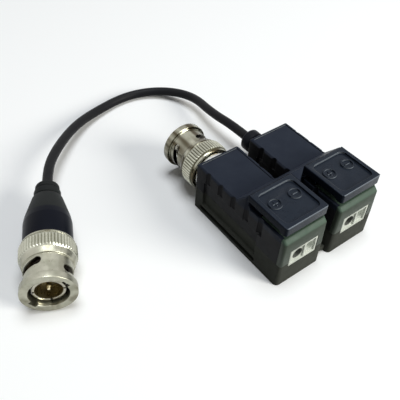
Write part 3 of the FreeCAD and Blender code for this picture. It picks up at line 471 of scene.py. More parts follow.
class Look(Enum):
    """Finishes that the pieces wear. Several looks may share one material slot of the record."""

    # Housing: bluish top as if lit by cool light from above, neutral painted shade on the sides, and a painted
    # highlight on marked faces
    HOUSING = MouldedPlastic("housing_black", (0.015, 0.019, 0.030), (0.020, 0.025, 0.037),
                             specular=0.05, shaded_side_colour=(0.020, 0.020, 0.022), top=ROOF_HEIGHT,
                             painted_highlight=(0.20, 0.22, 0.24))
    # Tray: lighter, warmer copy of the housing's black plastic, painted light on its lit front faces
    TRAY = MouldedPlastic("tray_black_painted_light", (0.044, 0.047, 0.039), (0.054, 0.057, 0.048), 0.5, 0.03)
    # Lever: painted highlight on marked faces, blue painted reflection tint, and matt sides
    LEVER = MouldedPlastic("lever_black", (0.006, 0.009, 0.016), (0.010, 0.013, 0.021), 0.3,
                           0.18, reflection_tint=(0.72, 0.86, 1.0), matt=0.03, painted_highlight=(0.125, 0.14, 0.16),
                           edge=0.3, grain_depth=0.004)
    # Terminal block: lighter, greener lit top and bevel, and darker painted shade on its front and sides below the
    # bevel
    TERMINAL = MouldedPlastic("terminal_green", (0.063, 0.100, 0.073), (0.070, 0.108, 0.080),
                              specular=0.12, shaded_side_colour=(0.046, 0.060, 0.045),
                              top=BEVEL_HEIGHT)
    GUIDE = MouldedPlastic("guide_white", (0.58, 0.61, 0.55), (0.64, 0.67, 0.60), 0.45)
    # Wire entry linings: dark grey is painted shade in the positive hole, and the pale one, paler than the guide,
    # is painted light in the negative hole
    ENTRY_DARK = MouldedPlastic("entry_painted_shade", (0.17, 0.18, 0.165), (0.21, 0.22, 0.2), 0.5, 0.1)
    ENTRY_PALE = MouldedPlastic("entry_pale", (0.74, 0.77, 0.72), (0.78, 0.81, 0.76), 0.5)
    SPRING = PlatedMetal("spring_steel", (0.6, 0.6, 0.58), (0.5, 0.5, 0.48), 0.28)
    TINNED = PlatedMetal("tinned_contact", (0.72, 0.71, 0.68), (0.6, 0.6, 0.57), 0.32)
    BOARD = MouldedPlastic("board_green", (0.02, 0.12, 0.05), (0.03, 0.15, 0.07), 0.35)
    FERRITE = MouldedPlastic("ferrite_grey", (0.05, 0.045, 0.042), (0.07, 0.065, 0.06), 0.6)
    WIRE = PlatedMetal("enamelled_wire", (0.55, 0.2, 0.09), (0.45, 0.15, 0.06), 0.25)
    COMPONENT = MouldedPlastic("component_yellow", (0.6, 0.42, 0.1), (0.65, 0.47, 0.14), 0.25)
    NICKEL = PlatedMetal("plain_nickel", (0.42, 0.42, 0.34), (0.33, 0.335, 0.265))
    INSULATOR = MouldedPlastic("insulator_brown", (0.15, 0.125, 0.07), (0.19, 0.16, 0.09), 0.4)
    GOLD = PlatedMetal("contact_gold", (0.88, 0.81, 0.60), (0.76, 0.66, 0.42))
    GASKET = MouldedPlastic("gasket_dark", (0.02, 0.014, 0.010), (0.03, 0.02, 0.015), 0.6, 0.1)
    RUBBER = MouldedPlastic("rubber_black", (0.009, 0.010, 0.014), (0.013, 0.015, 0.019), 0.35,
                            0.15)
    GLAND = MouldedPlastic("gland_black", (0.005, 0.006, 0.009), (0.009, 0.010, 0.014),
                           specular=0.08)
    CORD = MouldedPlastic("cord_black", (0.007, 0.007, 0.009), (0.011, 0.011, 0.012), 0.45, 0.1,
                          edge=0.0)


LOOK_OF_SLOT = {
    "housing_plastic": Look.HOUSING, "lever_plastic": Look.LEVER,
    "terminal_plastic": Look.TERMINAL, "guide_plastic": Look.GUIDE,
    "spring_steel": Look.SPRING, "tinned_contact": Look.TINNED, "board_laminate": Look.BOARD,
    "ferrite": Look.FERRITE, "winding_wire": Look.WIRE, "component_body": Look.COMPONENT,
    "nickel_plate": Look.NICKEL, "white_insulator": Look.INSULATOR, "gold_contact": Look.GOLD,
    "soft_gasket": Look.GASKET, "boot_rubber": Look.RUBBER, "gland_plastic": Look.GLAND,
    "cord_jacket": Look.CORD,
}

# Roughness of each plug's sleeve, and its dark streaks of painted reflection
SLEEVE_ROUGHNESS_AND_REFLECTIONS = {
    Kind.FIXED: {"roughness": 0.2, "reflection_streaks": 0.95, "reflection_range": (0.42, 0.57),
                 "reflection_colour": (0.07, 0.055, 0.03), "seed": 2.6},
    Kind.FREE: {"roughness": 0.33, "reflection_streaks": 0.7},
}

# Painted shade between the teeth of each plug's knurl
KNURL_SHADE = {Kind.FIXED: (0.07, 0.065, 0.04), Kind.FREE: (0.30, 0.30, 0.235)}


class Palette:
    """Every finish, made once and shared."""

    def __init__(self) -> None:
        """Build all the shared finishes."""
        self.made = {look: look.value.build() for look in Look}

    def dress(self, piece: Piece, finish: Look | Material) -> None:
        """Give a piece one finish in all of its material slots.

        Args:
            piece: Object to dress.
            finish: A shared look, or a material made for this piece.
        """
        material = self.made[finish] if isinstance(finish, Look) else finish
        if not piece.material_slots:
            piece.data.materials.append(material)
        for slot in piece.material_slots:
            slot.material = material

    def dress_cad(self) -> None:
        """Give every node of the frame the finish that goes with its record slot."""
        for entry in frame["record"]["subparts"]:
            self.dress(frame["nodes"][entry["node"]], LOOK_OF_SLOT[entry["material_slot"]])
        LOG.info("dressed %d nodes of the frame", len(frame["nodes"]))

    def fit(self, piece: Piece, finish: Look | Material, node: str,
            stands_for: bool = True) -> Piece:
        """Dress a finished piece and let it move with a node's body.

        Args:
            piece: Object at the origin.
            finish: A shared look, or a material made for this piece.
            node: Node of the frame whose body it moves with.
            stands_for: Whether it replaces the node, or else lies on it.

        Returns:
            The same piece.
        """
        record = frame["record"]
        bodies = record["behaviour"]["bodies"]
        body = next(name for name, members in bodies.items() if node in members)
        self.dress(piece, finish)
        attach(piece, body)
        if stands_for:
            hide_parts(node)
        LOG.info("piece %s moves with %s", piece.name, body)
        return piece


# Shared ways to make pieces


def stand(name: str, data: bpy.types.ID) -> Piece:
    """Put a new object with the given data into the scene.

    Args:
        name: Name of the object.
        data: Its mesh, curve, camera or lamp.

    Returns:
        The object, at the origin.
    """
    made = bpy.data.objects.new(name, data)
    bpy.context.scene.collection.objects.link(made)
    return made


def new_piece(name: str, shape: Shape) -> Piece:
    """Turn a finished bmesh into an object at the origin.

    Args:
        name: Name of the piece.
        shape: Its mesh in metres, which is freed.

    Returns:
        The new object.
    """
    mesh = bpy.data.meshes.new(name)
    shape.to_mesh(mesh)
    shape.free()
    return stand(name, mesh)


def make_plain(piece: Piece) -> None:
    """Turn a piece's live modifiers into its plain mesh.

    Args:
        piece: Piece with modifiers.
    """
    graph = bpy.context.evaluated_depsgraph_get()
    graph.update()
    plain = bpy.data.meshes.new_from_object(piece.evaluated_get(graph))
    piece.modifiers.clear()
    piece.data = plain


def smooth(mesh: bpy.types.Mesh, crease: float = CREASE) -> None:
    """Shade a mesh smooth, with sharp edges past the crease angle."""
    mesh.shade_smooth()
    mesh.set_sharp_from_angle(angle=math.radians(crease))


def settle(piece: Piece, crease: float = CREASE) -> Piece:
    """Make a piece plain and smooth.

    Args:
        piece: Piece to settle.
        crease: Angle past which an edge stays sharp.

    Returns:
        The same piece.
    """
    make_plain(piece)
    smooth(piece.data, crease)
    return piece


def wall(shape: Shape, ring: Sequence[bmesh.types.BMVert],
         beside: Sequence[bmesh.types.BMVert]) -> None:
    """Join two rings corner by corner, apart from sides that both rings share.

    Args:
        shape: Mesh that holds the rings.
        ring: First ring.
        beside: Second ring, with as many corners.
    """
    for index, corner in enumerate(ring):
        after = (index + 1) % len(ring)
        if corner.co != beside[index].co or ring[after].co != beside[after].co:
            shape.faces.new((corner, ring[after], beside[after], beside[index]))


def skin(shape: Shape, sections: Sequence[Sequence[Vector]]) -> None:
    """Lay a closed skin over sections with equal numbers of corners.

    Args:
        shape: Mesh that it goes into.
        sections: Corners of each section, in metres.
    """
    rings = [[shape.verts.new(corner) for corner in section] for section in sections]
    for ring, beside in zip(rings, rings[1:]):
        wall(shape, ring, beside)
    shape.faces.new(rings[0][::-1])
    shape.faces.new(rings[-1])
    bmesh.ops.recalc_face_normals(shape, faces=shape.faces)


def lathe(name: str, profile: Sequence[Span], place: Matrix, steps: int = 96) -> Piece:
    """Turn a closed profile about the local X axis.

    Args:
        name: Name of the piece.
        profile: Corners as axial place and radius, in order round the section.
        place: Where the local frame stands.
        steps: Faces in one turn.

    Returns:
        The turned piece, in metres.
    """
    shape = bmesh.new()
    rings = []
    for index in range(steps):
        angle = math.tau * index / steps
        corners = [place @ Vector((x, radius * math.sin(angle), radius * math.cos(angle)))
                   for x, radius in profile]
        rings.append([shape.verts.new(corner * MM) for corner in corners])
    for ring, beside in zip(rings, rings[1:] + rings[:1]):
        wall(shape, ring, beside)
    bmesh.ops.remove_doubles(shape, verts=shape.verts, dist=1e-7)
    bmesh.ops.recalc_face_normals(shape, faces=shape.faces)
    return new_piece(name, shape)


def rounded(points: Sequence[Span], radius: float, steps: int = 3) -> list[Span]:
    """Round every corner of a closed outline, apart from those on the axis.

    Args:
        points: Corners in order.
        radius: Largest radius; short sides get less.
        steps: Faces round each corner.

    Returns:
        The rounded outline.
    """
    made = []
    for index, here in enumerate(points):
        if here[1] == 0.0:
            made.append(here)
            continue
        corner = Vector(here)
        before = Vector(points[index - 1]) - corner
        after = Vector(points[(index + 1) % len(points)]) - corner
        reach = min(radius, before.length * MOST_OF_SIDE, after.length * MOST_OF_SIDE)
        start = corner + before.normalized() * reach
        end = corner + after.normalized() * reach
        for step in range(steps + 1):
            share = step / steps
            made.append(tuple(start.lerp(corner, share).lerp(corner.lerp(end, share), share)))
    return made


def block(name: str, near: Sequence[float], far: Sequence[float]) -> Piece:
    """Make a square block to cut with.

    Args:
        name: Name of the block.
        near: Its lowest corner.
        far: Its highest corner.

    Returns:
        The block, in the unit of its corners.
    """
    near, far = Vector(near), Vector(far)
    shape = bmesh.new()
    bmesh.ops.create_cube(shape, size=1.0)
    shape.transform(Matrix.Translation((near + far) / 2) @ Matrix.Diagonal((*(far - near), 1.0)))
    return new_piece(name, shape)


def cut_away(piece: Piece, cutters: Sequence[Piece]) -> None:
    """Cut closed shapes out of a piece.

    Args:
        piece: Piece with a closed mesh.
        cutters: Closed shapes, which are removed afterwards.
    """
    for cutter in cutters:
        cut = piece.modifiers.new(cutter.name, "BOOLEAN")
        cut.operation = "DIFFERENCE"
        cut.solver = "EXACT"
        cut.object = cutter
    settle(piece)
    for cutter in cutters:
        bpy.data.objects.remove(cutter)


def carve(piece: Piece, cutters: Sequence[Piece]) -> None:
    """Cut closed shapes out of a turned piece, and shade what is left as it was before.

    Args:
        piece: Piece with a closed mesh.
        cutters: Closed shapes, which are removed afterwards.
    """
    uncut = piece.data.copy()
    smooth(uncut)
    cut_away(piece, cutters)
    places = [vertex.co for vertex in uncut.vertices]
    tree = BVHTree.FromPolygons(places, [tuple(face.vertices) for face in uncut.polygons])
    before = [corner.vector for corner in uncut.corner_normals]
    kept = [Vector() for _ in piece.data.loops]
    for face in piece.data.polygons:
        _, normal, index, distance = tree.find_nearest(face.center)
        # A face that is off the old surface, or turned away from it, is the wall of a cut
        if distance > 0.002 * MM or normal.dot(face.normal) < 0.9:
            continue
        source = uncut.polygons[index]
        corners = [places[vertex] for vertex in source.vertices]
        for loop in face.loop_indices:
            place = piece.data.vertices[piece.data.loops[loop].vertex_index].co
            mean = Vector()
            for share, corner in zip(poly_3d_calc(corners, place), source.loop_indices):
                mean += before[corner] * share
            kept[loop] = mean.normalized()
    piece.data.normals_split_custom_set(kept)


def mark(piece: Piece, name: str, wanted: Callable[[bpy.types.MeshPolygon], bool]) -> None:
    """Mark some faces of a piece for its material to find.

    Args:
        piece: Piece with a plain mesh.
        name: Name of the mark.
        wanted: Says whether a face gets the mark.
    """
    marks = piece.data.attributes.new(name, "FLOAT", "FACE")
    for face in piece.data.polygons:
        marks.data[face.index].value = float(wanted(face))


def mark_highlight(piece: Piece, heights: Span, front: float, rims: bool = True) -> None:
    """Mark the small walls and rounded edges that face the front, for a painted highlight.

    Args:
        piece: Piece with a plain mesh.
        heights: Lowest and highest place of a marked face.
        front: Place along Y in metres, before which only rounded edges are marked.
        rims: Whether those rounded edges are marked.
    """
    low, high = heights[0] * MM, heights[1] * MM
    forward, upward = -0.3, 0.2
    mark(piece, HIGHLIGHT_MARK, lambda face: face.normal.y < forward and low < face.center.z < high
         and (face.center.y > front or rims and face.normal.z > upward))


@dataclass(frozen=True)
class Softened:
    """Copy of a node of the frame with its edges rounded a little, as a mould leaves them."""

    palette: Palette
    node: str
    finish: Look | Material
    width: float = 0.15
    # An edge is rounded past this angle; facets within the other are one face
    edge_angle: float = 38.0
    flat_angle: float = 1.5
    # Radius of the upright front corners, and a node between whose walls they stand
    corner: float = 0.0
    corners_of: str = ""
    groove: float = 0.0
    groove_width: float = 0.35
    groove_from_left: float = 1.6
    groove_from_back: float = 0.95
    groove_from_right: float = 1.3
    groove_length: float = 15.2
    tongue_cut: float = 0.0
    tongue_stub: float = 0.3
    # Heights of the faces with a painted highlight, the place behind the front past which walls get it, and
    # whether rounded edges before that get it
    painted_highlight: Span | None = None
    highlight_from: float = 1.0
    highlight_rims: bool = True

    def right_wall(self) -> float:
        """Find the piece's right wall, without a tongue on it.

        Returns:
            Its place along X in metres.
        """
        low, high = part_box(self.node)
        if not self.corners_of:
            return high[0]
        inner_low, inner_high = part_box(self.corners_of)
        return inner_high[0] + inner_low[0] - low[0]

    def tongue_cutter(self) -> Piece:
        """Closed shape of what comes off the front of the tongue on the right wall.

        Returns:
            The cutter.
        """
        low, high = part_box(self.node)
        near = (self.right_wall() + self.tongue_stub * MM, low[1] - MM, low[2] - MM)
        return block("tongue_front", near,
                     (high[0] + MM, low[1] + self.tongue_cut * MM, high[2] + MM))

    def corner_cutter(self, edge: float, inward: float, steps: int = 4) -> Piece:
        """Closed shape of what comes off one upright front corner.

        Args:
            edge: Place of the side wall along X in metres.
            inward: Direction from the wall into the piece, 1 or -1.
            steps: Faces round the corner.

        Returns:
            The cutter.
        """
        low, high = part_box(self.node)
        inset = self.corner * MM
        outline = [(-MM, -MM), (inset, -MM)]
        for step in range(steps + 1):
            angle = math.radians(270.0 - 90.0 * step / steps)
            outline.append((inset * (1.0 + math.cos(angle)), inset * (1.0 + math.sin(angle))))
        outline.append((-MM, inset))
        shape = bmesh.new()
        skin(shape, [[Vector((edge + inward * x, low[1] + y, z)) for x, y in outline]
                     for z in (low[2] - MM, high[2] + MM)])
        return new_piece(f"{self.node}_corner_cutter", shape)

    def groove_cutters(self) -> list[Piece]:
        """Closed shapes of a fine groove along the back and the right edge of the roof.

        Returns:
            The two cutters.
        """
        low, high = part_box(self.node)
        floor, roof = (ROOF_HEIGHT - self.groove) * MM, (ROOF_HEIGHT + 1.0) * MM
        wide = self.groove_width * MM
        left = low[0] + self.groove_from_left * MM
        right = high[0] - self.groove_from_right * MM
        back = high[1] - self.groove_from_back * MM
        return [block("back_groove", (left, back - wide, floor), (right, back, roof)),
                block("right_groove", (right - wide, back - self.groove_length * MM, floor),
                      (right, back - 0.5 * wide, roof))]

    def build(self) -> Piece:
        """Make the piece and let it stand for the node.

        Returns:
            The new piece.
        """
        shape = bmesh.new()
        shape.from_mesh(frame["nodes"][self.node].data)
        bmesh.ops.remove_doubles(shape, verts=shape.verts, dist=1e-6)
        bmesh.ops.dissolve_limit(shape, angle_limit=math.radians(self.flat_angle),
                                 verts=shape.verts, edges=shape.edges)
        piece = new_piece(f"{self.node}_finished", shape)
        if self.corner:
            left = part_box(self.node)[0][0]
            cut_away(piece, [self.corner_cutter(left, 1.0),
                             self.corner_cutter(self.right_wall(), -1.0)])
        if self.groove:
            cut_away(piece, self.groove_cutters())
        if self.tongue_cut:
            cut_away(piece, [self.tongue_cutter()])
        piece.data.shade_smooth()
        bevel = piece.modifiers.new("edges", "BEVEL")
        bevel.width = self.width * MM
        bevel.segments = 2
        bevel.limit_method = "ANGLE"
        bevel.angle_limit = math.radians(self.edge_angle)
        bevel.harden_normals = True
        bevel.use_clamp_overlap = True
        make_plain(piece)
        # Mark the front-facing walls and edges for the painted highlight
        if self.painted_highlight:
            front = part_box(self.node)[0][1] + self.highlight_from * MM
            mark_highlight(piece, self.painted_highlight, front, self.highlight_rims)
        return self.palette.fit(piece, self.finish, self.node)


class Growth(Tree):
    """A Geometry Nodes tree with named inputs, grown on a piece and then made plain."""

    def __init__(self, name: str, **sizes: str) -> None:
        """Start a tree with its named inputs.

        Args:
            name: Name of the tree.
            sizes: Float or Int for each named input.
        """
        super().__init__(bpy.data.node_groups.new(name, "GeometryNodeTree"))
        sockets = self.tree.interface.new_socket
        for way in ("INPUT", "OUTPUT"):
            sockets("Geometry", in_out=way, socket_type="NodeSocketGeometry")
        self.identifiers = {
            size: sockets(size, in_out="INPUT", socket_type=f"NodeSocket{kind}").identifier
            for size, kind in sizes.items()}
        self.given = self.add("NodeGroupInput", {}).outputs

    def grow(self, name: str, geometry: Socket, material: Material, crease: float,
             **sizes: float) -> Piece:
        """End the tree in Realize Instances and Set Material, and keep its result.

        Args:
            name: Name of the new piece.
            geometry: Geometry that the tree makes.
            material: Finish of the result.
            crease: Angle past which an edge stays sharp.
            sizes: Values of the named inputs.

        Returns:
            The new piece with a plain mesh.
        """
        realized = self.add("GeometryNodeRealizeInstances", {"Geometry": geometry}).outputs
        painted = self.add("GeometryNodeSetMaterial", {"Geometry": realized["Geometry"],
                                                       "Material": material}).outputs
        self.add("NodeGroupOutput", {"Geometry": painted["Geometry"]})
        piece = new_piece(name, bmesh.new())
        modifier = piece.modifiers.new(name, "NODES")
        modifier.node_group = self.tree
        for size, value in sizes.items():
            modifier[self.identifiers[size]] = value
        return settle(piece, crease)


# Bayonet plugs


@dataclass
class BayonetPlug:
    """Plug with a knurled coupling sleeve, drawn back from the middle of its mating face."""

    palette: Palette
    kind: Kind
    flange_radius: float = 7.02
    flange_thickness: float = 2.0
    barrel_radius: float = 6.15
    bore: float = 4.95
    shoulder_start: float = 8.0
    shoulder_rise: float = 0.35
    knurl_start: float = 9.6
    knurl_end: float = 14.2
    knurl_radius: float = 7.4
    knurl_depth: float = 0.32
    knurl_chamfer: float = 0.9
    # Shares of the knurl's depth: where its ends start, and the floor below its teeth
    knurl_end_depth: float = 1.9
    knurl_floor_depth: float = 1.6
    teeth: int = 54
    faces_per_tooth: int = 8
    places_along_tooth: int = 15
    sleeve_end: float = 14.9
    band_radius: float = 7.05
    band_slope: float = 0.15
    chamber_start: float = 7.2
    chamber_radius: float = 5.38
    lip_start: float = 13.9
    lip_radius: float = 4.38
    entry_angle: float = 55.0
    entry_width: float = 2.3
    entry_radius: float = 5.75
    entry_length: float = 4.6
    slot_width: float = 2.1
    slot_start: float = 4.35
    slot_end: float = 6.3
    slot_turn: float = 108.0
    mouth_radius: float = 1.1
    detent_radius: float = 1.15
    # How far the slots' cutters reach past the bore and the flange, and the holes' in all
    cut_inward: float = 0.4
    cut_outward: float = 0.6
    cut_past: float = 1.1
    edge: float = 0.22
    # Axial places and radii between which painted shade fades
    barrel_grime_along: Span = (2.4, 4.4)
    barrel_grime_out: Span = (5.7, 6.09)
    knurl_grime_along: Span = (9.95, 10.2)
    knurl_grime_out: Span = (7.08, 7.272)
    body_grime_along: Span = (2.2, 3.2)
    body_edge: float = 0.12
    contact_bore: float = 3.45
    lining_gap: float = 0.01
    lining_thickness: float = 0.06
    lining_start: float = 1.35
    lining_end: float = 5.15
    # Axial place and radius of each corner of the boot, from its front round to its inside
    boot_profile: tuple[Span, ...] = (
        (15.25, 5.45), (15.25, 6.5), (22.1, 6.5), (24.2, 6.2), (31.5, 4.3), (31.5, 2.9),
        (32.4, 2.9), (32.4, 3.75), (34.5, 3.75), (34.5, 2.9), (35.1, 2.9), (35.1, 3.4),
        (36.6, 3.4), (37.1, 2.9), (37.1, 0.0), (20.05, 0.0), (20.05, 5.45))
    boot_edge: float = 0.15

    def named(self, what: str) -> str:
        """Name one of the plug's own pieces, nodes or finishes."""
        return f"{self.kind.value}_{what}"

    def place(self) -> Matrix:
        """Find the plug's local frame, from the joint that its sleeve turns on.

        Returns:
            The frame, with X back along the plug's axis.
        """
        joint = next(item for item in frame["joints"] if item["name"] == self.named("sleeve_turn"))
        back = -Vector(joint["axis"]).normalized()
        up = Vector((0.0, 0.0, 1.0))
        turn = Matrix((back, up.cross(back), up)).transposed().to_4x4()
        return Matrix.Translation(Vector(joint["pos_m"]) / MM) @ turn

    def metres(self, turn: float = 0.0) -> Matrix:
        """Find the way from the local frame in millimetres, turned about its axis, to metres."""
        return Matrix.Scale(MM, 4) @ self.place() @ Matrix.Rotation(math.radians(turn), 4, "X")

    def axis(self) -> Axis:
        """Find the plug's axis for its finishes.

        Returns:
            The axis, from the mating face back.
        """
        place = self.place()
        back = place.col[0]
        return Axis(tuple(place.translation * MM), math.atan2(back.y, back.x))

    def metal(self, name: str, colour: Colour, tarnish: Colour, **settings: object) -> Material:
        """Make a plated metal whose turning lines run round this plug.

        Args:
            name: Name of the finish.
            colour: Clean colour.
            tarnish: Colour where it is dull.
            settings: Further fields of the finish.

        Returns:
            The material.
        """
        return PlatedMetal(self.named(name), colour, tarnish, axis=self.axis(),
                           **settings).build()

    def shell(self) -> Piece:
        """Turn the sleeve's outside and inside, without knurl and slots.

        Returns:
            The closed shell.
        """
        under_knurl = self.knurl_radius - self.knurl_depth * self.knurl_floor_depth
        outline = [
            (0.0, self.bore), (0.0, self.flange_radius),
            (self.flange_thickness, self.flange_radius),
            (self.flange_thickness, self.barrel_radius),
            (self.shoulder_start, self.barrel_radius),
            (self.shoulder_start, self.barrel_radius + self.shoulder_rise),
            (self.knurl_start, self.knurl_radius - self.knurl_depth),
            (self.knurl_start, under_knurl), (self.knurl_end, under_knurl),
            (self.knurl_end, self.band_radius),
            (self.sleeve_end, self.band_radius - self.band_slope),
            (self.sleeve_end, self.lip_radius), (self.lip_start, self.lip_radius),
            (self.lip_start, self.chamber_radius), (self.chamber_start, self.chamber_radius),
            (self.chamber_start, self.bore)]
        return lathe(self.named("sleeve"), rounded(outline, self.edge), self.place())

    def slot_cutter(self, turn: float, steps: int = 32) -> Piece:
        """Closed shape of one bayonet slot that climbs round the barrel.

        Args:
            turn: Angle of the slot's front end from the top.
            steps: Faces along the slot.

        Returns:
            The cutter.
        """
        low, high = self.bore - self.cut_inward, self.flange_radius + self.cut_outward
        half = self.slot_width / 2
        metres = self.metres()
        sections = []
        for index in range(steps + 1):
            share = index / steps
            angle = math.radians(turn + self.slot_turn * share)
            x = self.slot_start + (self.slot_end - self.slot_start) * share
            sections.append([
                metres @ Vector((x + side, -level * math.sin(angle), level * math.cos(angle)))
                for side, level in ((-half, low), (half, low), (half, high), (-half, high))])
        shape = bmesh.new()
        skin(shape, sections)
        return new_piece(self.named("slot_cutter"), shape)

    def hole_cutter(self, turn: float, x: float, radius: float) -> Piece:
        """Closed shape of one round hole through the barrel's wall.

        Args:
            turn: Angle of the hole from the top.
            x: Its place along the axis.
            radius: Its radius.

        Returns:
            The cutter.
        """
        shape = bmesh.new()
        bmesh.ops.create_cone(shape, cap_ends=True, segments=40, radius1=radius, radius2=radius,
                              depth=self.flange_radius - self.bore + self.cut_past)
        spot = Matrix.Translation((x, 0.0, (self.flange_radius + self.bore) / 2))
        shape.transform(self.metres(turn) @ spot)
        return new_piece(self.named("hole_cutter"), shape)

    def knurl(self) -> Piece:
        """Grow the ring of straight knurl teeth.

        Returns:
            The knurled ring.
        """
        growth = Growth(self.named("knurl"), start="Float", length="Float", radius="Float",
                        depth="Float", chamfer="Float", teeth="Int")
        given = growth.given
        plus, less, times, fold = (partial(growth.math, operation) for operation in
                                   ("ADD", "SUBTRACT", "MULTIPLY", "PINGPONG"))
        grid = growth.add("GeometryNodeMeshGrid", {
            "Size X": 1.0, "Size Y": 1.0, "Vertices X": self.places_along_tooth,
            "Vertices Y": plus(times(given["teeth"], float(self.faces_per_tooth)), 1.0)})
        points = growth.add("GeometryNodeInputPosition", {}).outputs["Position"]
        parts = growth.add("ShaderNodeSeparateXYZ", {"Vector": points}).outputs
        along, turn = plus(parts["X"], 0.5), plus(parts["Y"], 0.5)
        wave = times(fold(times(turn, given["teeth"]), 0.5), 2.0)
        tooth = less(given["radius"], times(wave, given["depth"]))
        rise = times(times(fold(along, 0.5), given["length"]), given["chamfer"])
        end = plus(less(given["radius"], times(given["depth"], self.knurl_end_depth)), rise)
        radius = growth.math("MINIMUM", tooth, end)
        angle = times(turn, math.tau)
        made = growth.add("ShaderNodeCombineXYZ", {
            "X": plus(given["start"], times(along, given["length"])),
            "Y": times(radius, growth.math("SINE", angle)),
            "Z": times(radius, growth.math("COSINE", angle))})
        moved = growth.add("GeometryNodeSetPosition", {"Geometry": grid.outputs["Mesh"],
                                                       "Position": made.outputs["Vector"]})
        closed = growth.add("GeometryNodeMergeByDistance", {
            "Geometry": moved.outputs["Geometry"], "Distance": 1e-7})
        ring = growth.grow(self.named("knurl_ring"), closed.outputs["Geometry"],
                           self.palette.made[Look.NICKEL], 20.0, start=self.knurl_start * MM,
                           length=(self.knurl_end - self.knurl_start) * MM,
                           radius=self.knurl_radius * MM, depth=self.knurl_depth * MM,
                           chamfer=self.knurl_chamfer, teeth=self.teeth)
        spot = self.place()
        spot.translation *= MM
        ring.data.transform(spot)
        return ring

    def sleeve(self) -> None:
        """Make the coupling sleeve with its entry grooves, its slots and its knurl."""
        node = self.named("coupling_sleeve")
        shell = self.shell()
        half = self.entry_width / 2
        cutters = []
        for turn in (self.entry_angle, self.entry_angle + 180.0):
            entry = block(self.named("entry_cutter"), (-1.0, -half, 0.0),
                          (self.entry_length, half, self.entry_radius))
            entry.data.transform(self.metres(turn))
            cutters += [entry, self.slot_cutter(turn),
                        self.hole_cutter(turn, self.slot_start, self.mouth_radius),
                        self.hole_cutter(turn + self.slot_turn, self.slot_end,
                                         self.detent_radius)]
        carve(shell, cutters)
        # Painted shade on the walls of the slots and holes and inside the sleeve
        nickel = self.metal("sleeve_nickel", (0.46, 0.45, 0.37), (0.32, 0.32, 0.25),
                            **SLEEVE_ROUGHNESS_AND_REFLECTIONS[self.kind], grime_along=self.barrel_grime_along,
                            grime_out=self.barrel_grime_out)
        self.palette.fit(shell, nickel, node)
        # Painted shade in the grooves between the knurl's teeth
        knurled = self.metal("knurl_nickel", (0.54, 0.54, 0.45), (0.42, 0.42, 0.345),
                             roughness=0.3, grime=KNURL_SHADE[self.kind],
                             grime_along=self.knurl_grime_along, grime_out=self.knurl_grime_out)
        self.palette.fit(self.knurl(), knurled, node, stands_for=False)

    def lining(self) -> None:
        """Line the contact ring with a thin bronze-coloured wall."""
        outer = self.contact_bore - self.lining_gap
        inner = self.contact_bore - self.lining_thickness
        profile = [(self.lining_start, inner), (self.lining_start, outer),
                   (self.lining_end, outer), (self.lining_end, inner)]
        piece = settle(lathe(self.named("contact_lining"), profile, self.place()))
        bronze = self.metal("contact_bronze", (0.42, 0.36, 0.20), (0.24, 0.20, 0.11),
                            roughness=0.3)
        self.palette.fit(piece, bronze, self.named("plug_body"), stands_for=False)

    def boot(self) -> None:
        """Turn the strain boot: a cylinder, a long cone, and two rings before the cord."""
        profile = rounded(self.boot_profile, self.boot_edge)
        piece = settle(lathe("free_strain_boot_finished", profile, self.place()))
        rubber = BootRubber("boot_rubber", self.axis()).build()
        self.palette.fit(piece, rubber, "free_strain_boot")

    def build(self) -> None:
        """Make the plug's outside and let each piece move with its body."""
        self.sleeve()
        self.lining()
        # Painted shade deeper inside the plug body
        inner = self.metal("body_nickel", (0.46, 0.44, 0.37), (0.36, 0.34, 0.28),
                           grime_along=self.body_grime_along)
        Softened(self.palette, self.named("plug_body"), inner, self.body_edge).build()
        if self.kind is Kind.FREE:
            self.boot()
            return
        bright = self.metal("collar_nickel", (0.78, 0.79, 0.77), (0.55, 0.56, 0.55),
                            roughness=0.25)
        Softened(self.palette, "fixed_rear_collar", bright, self.body_edge).build()


# Housings


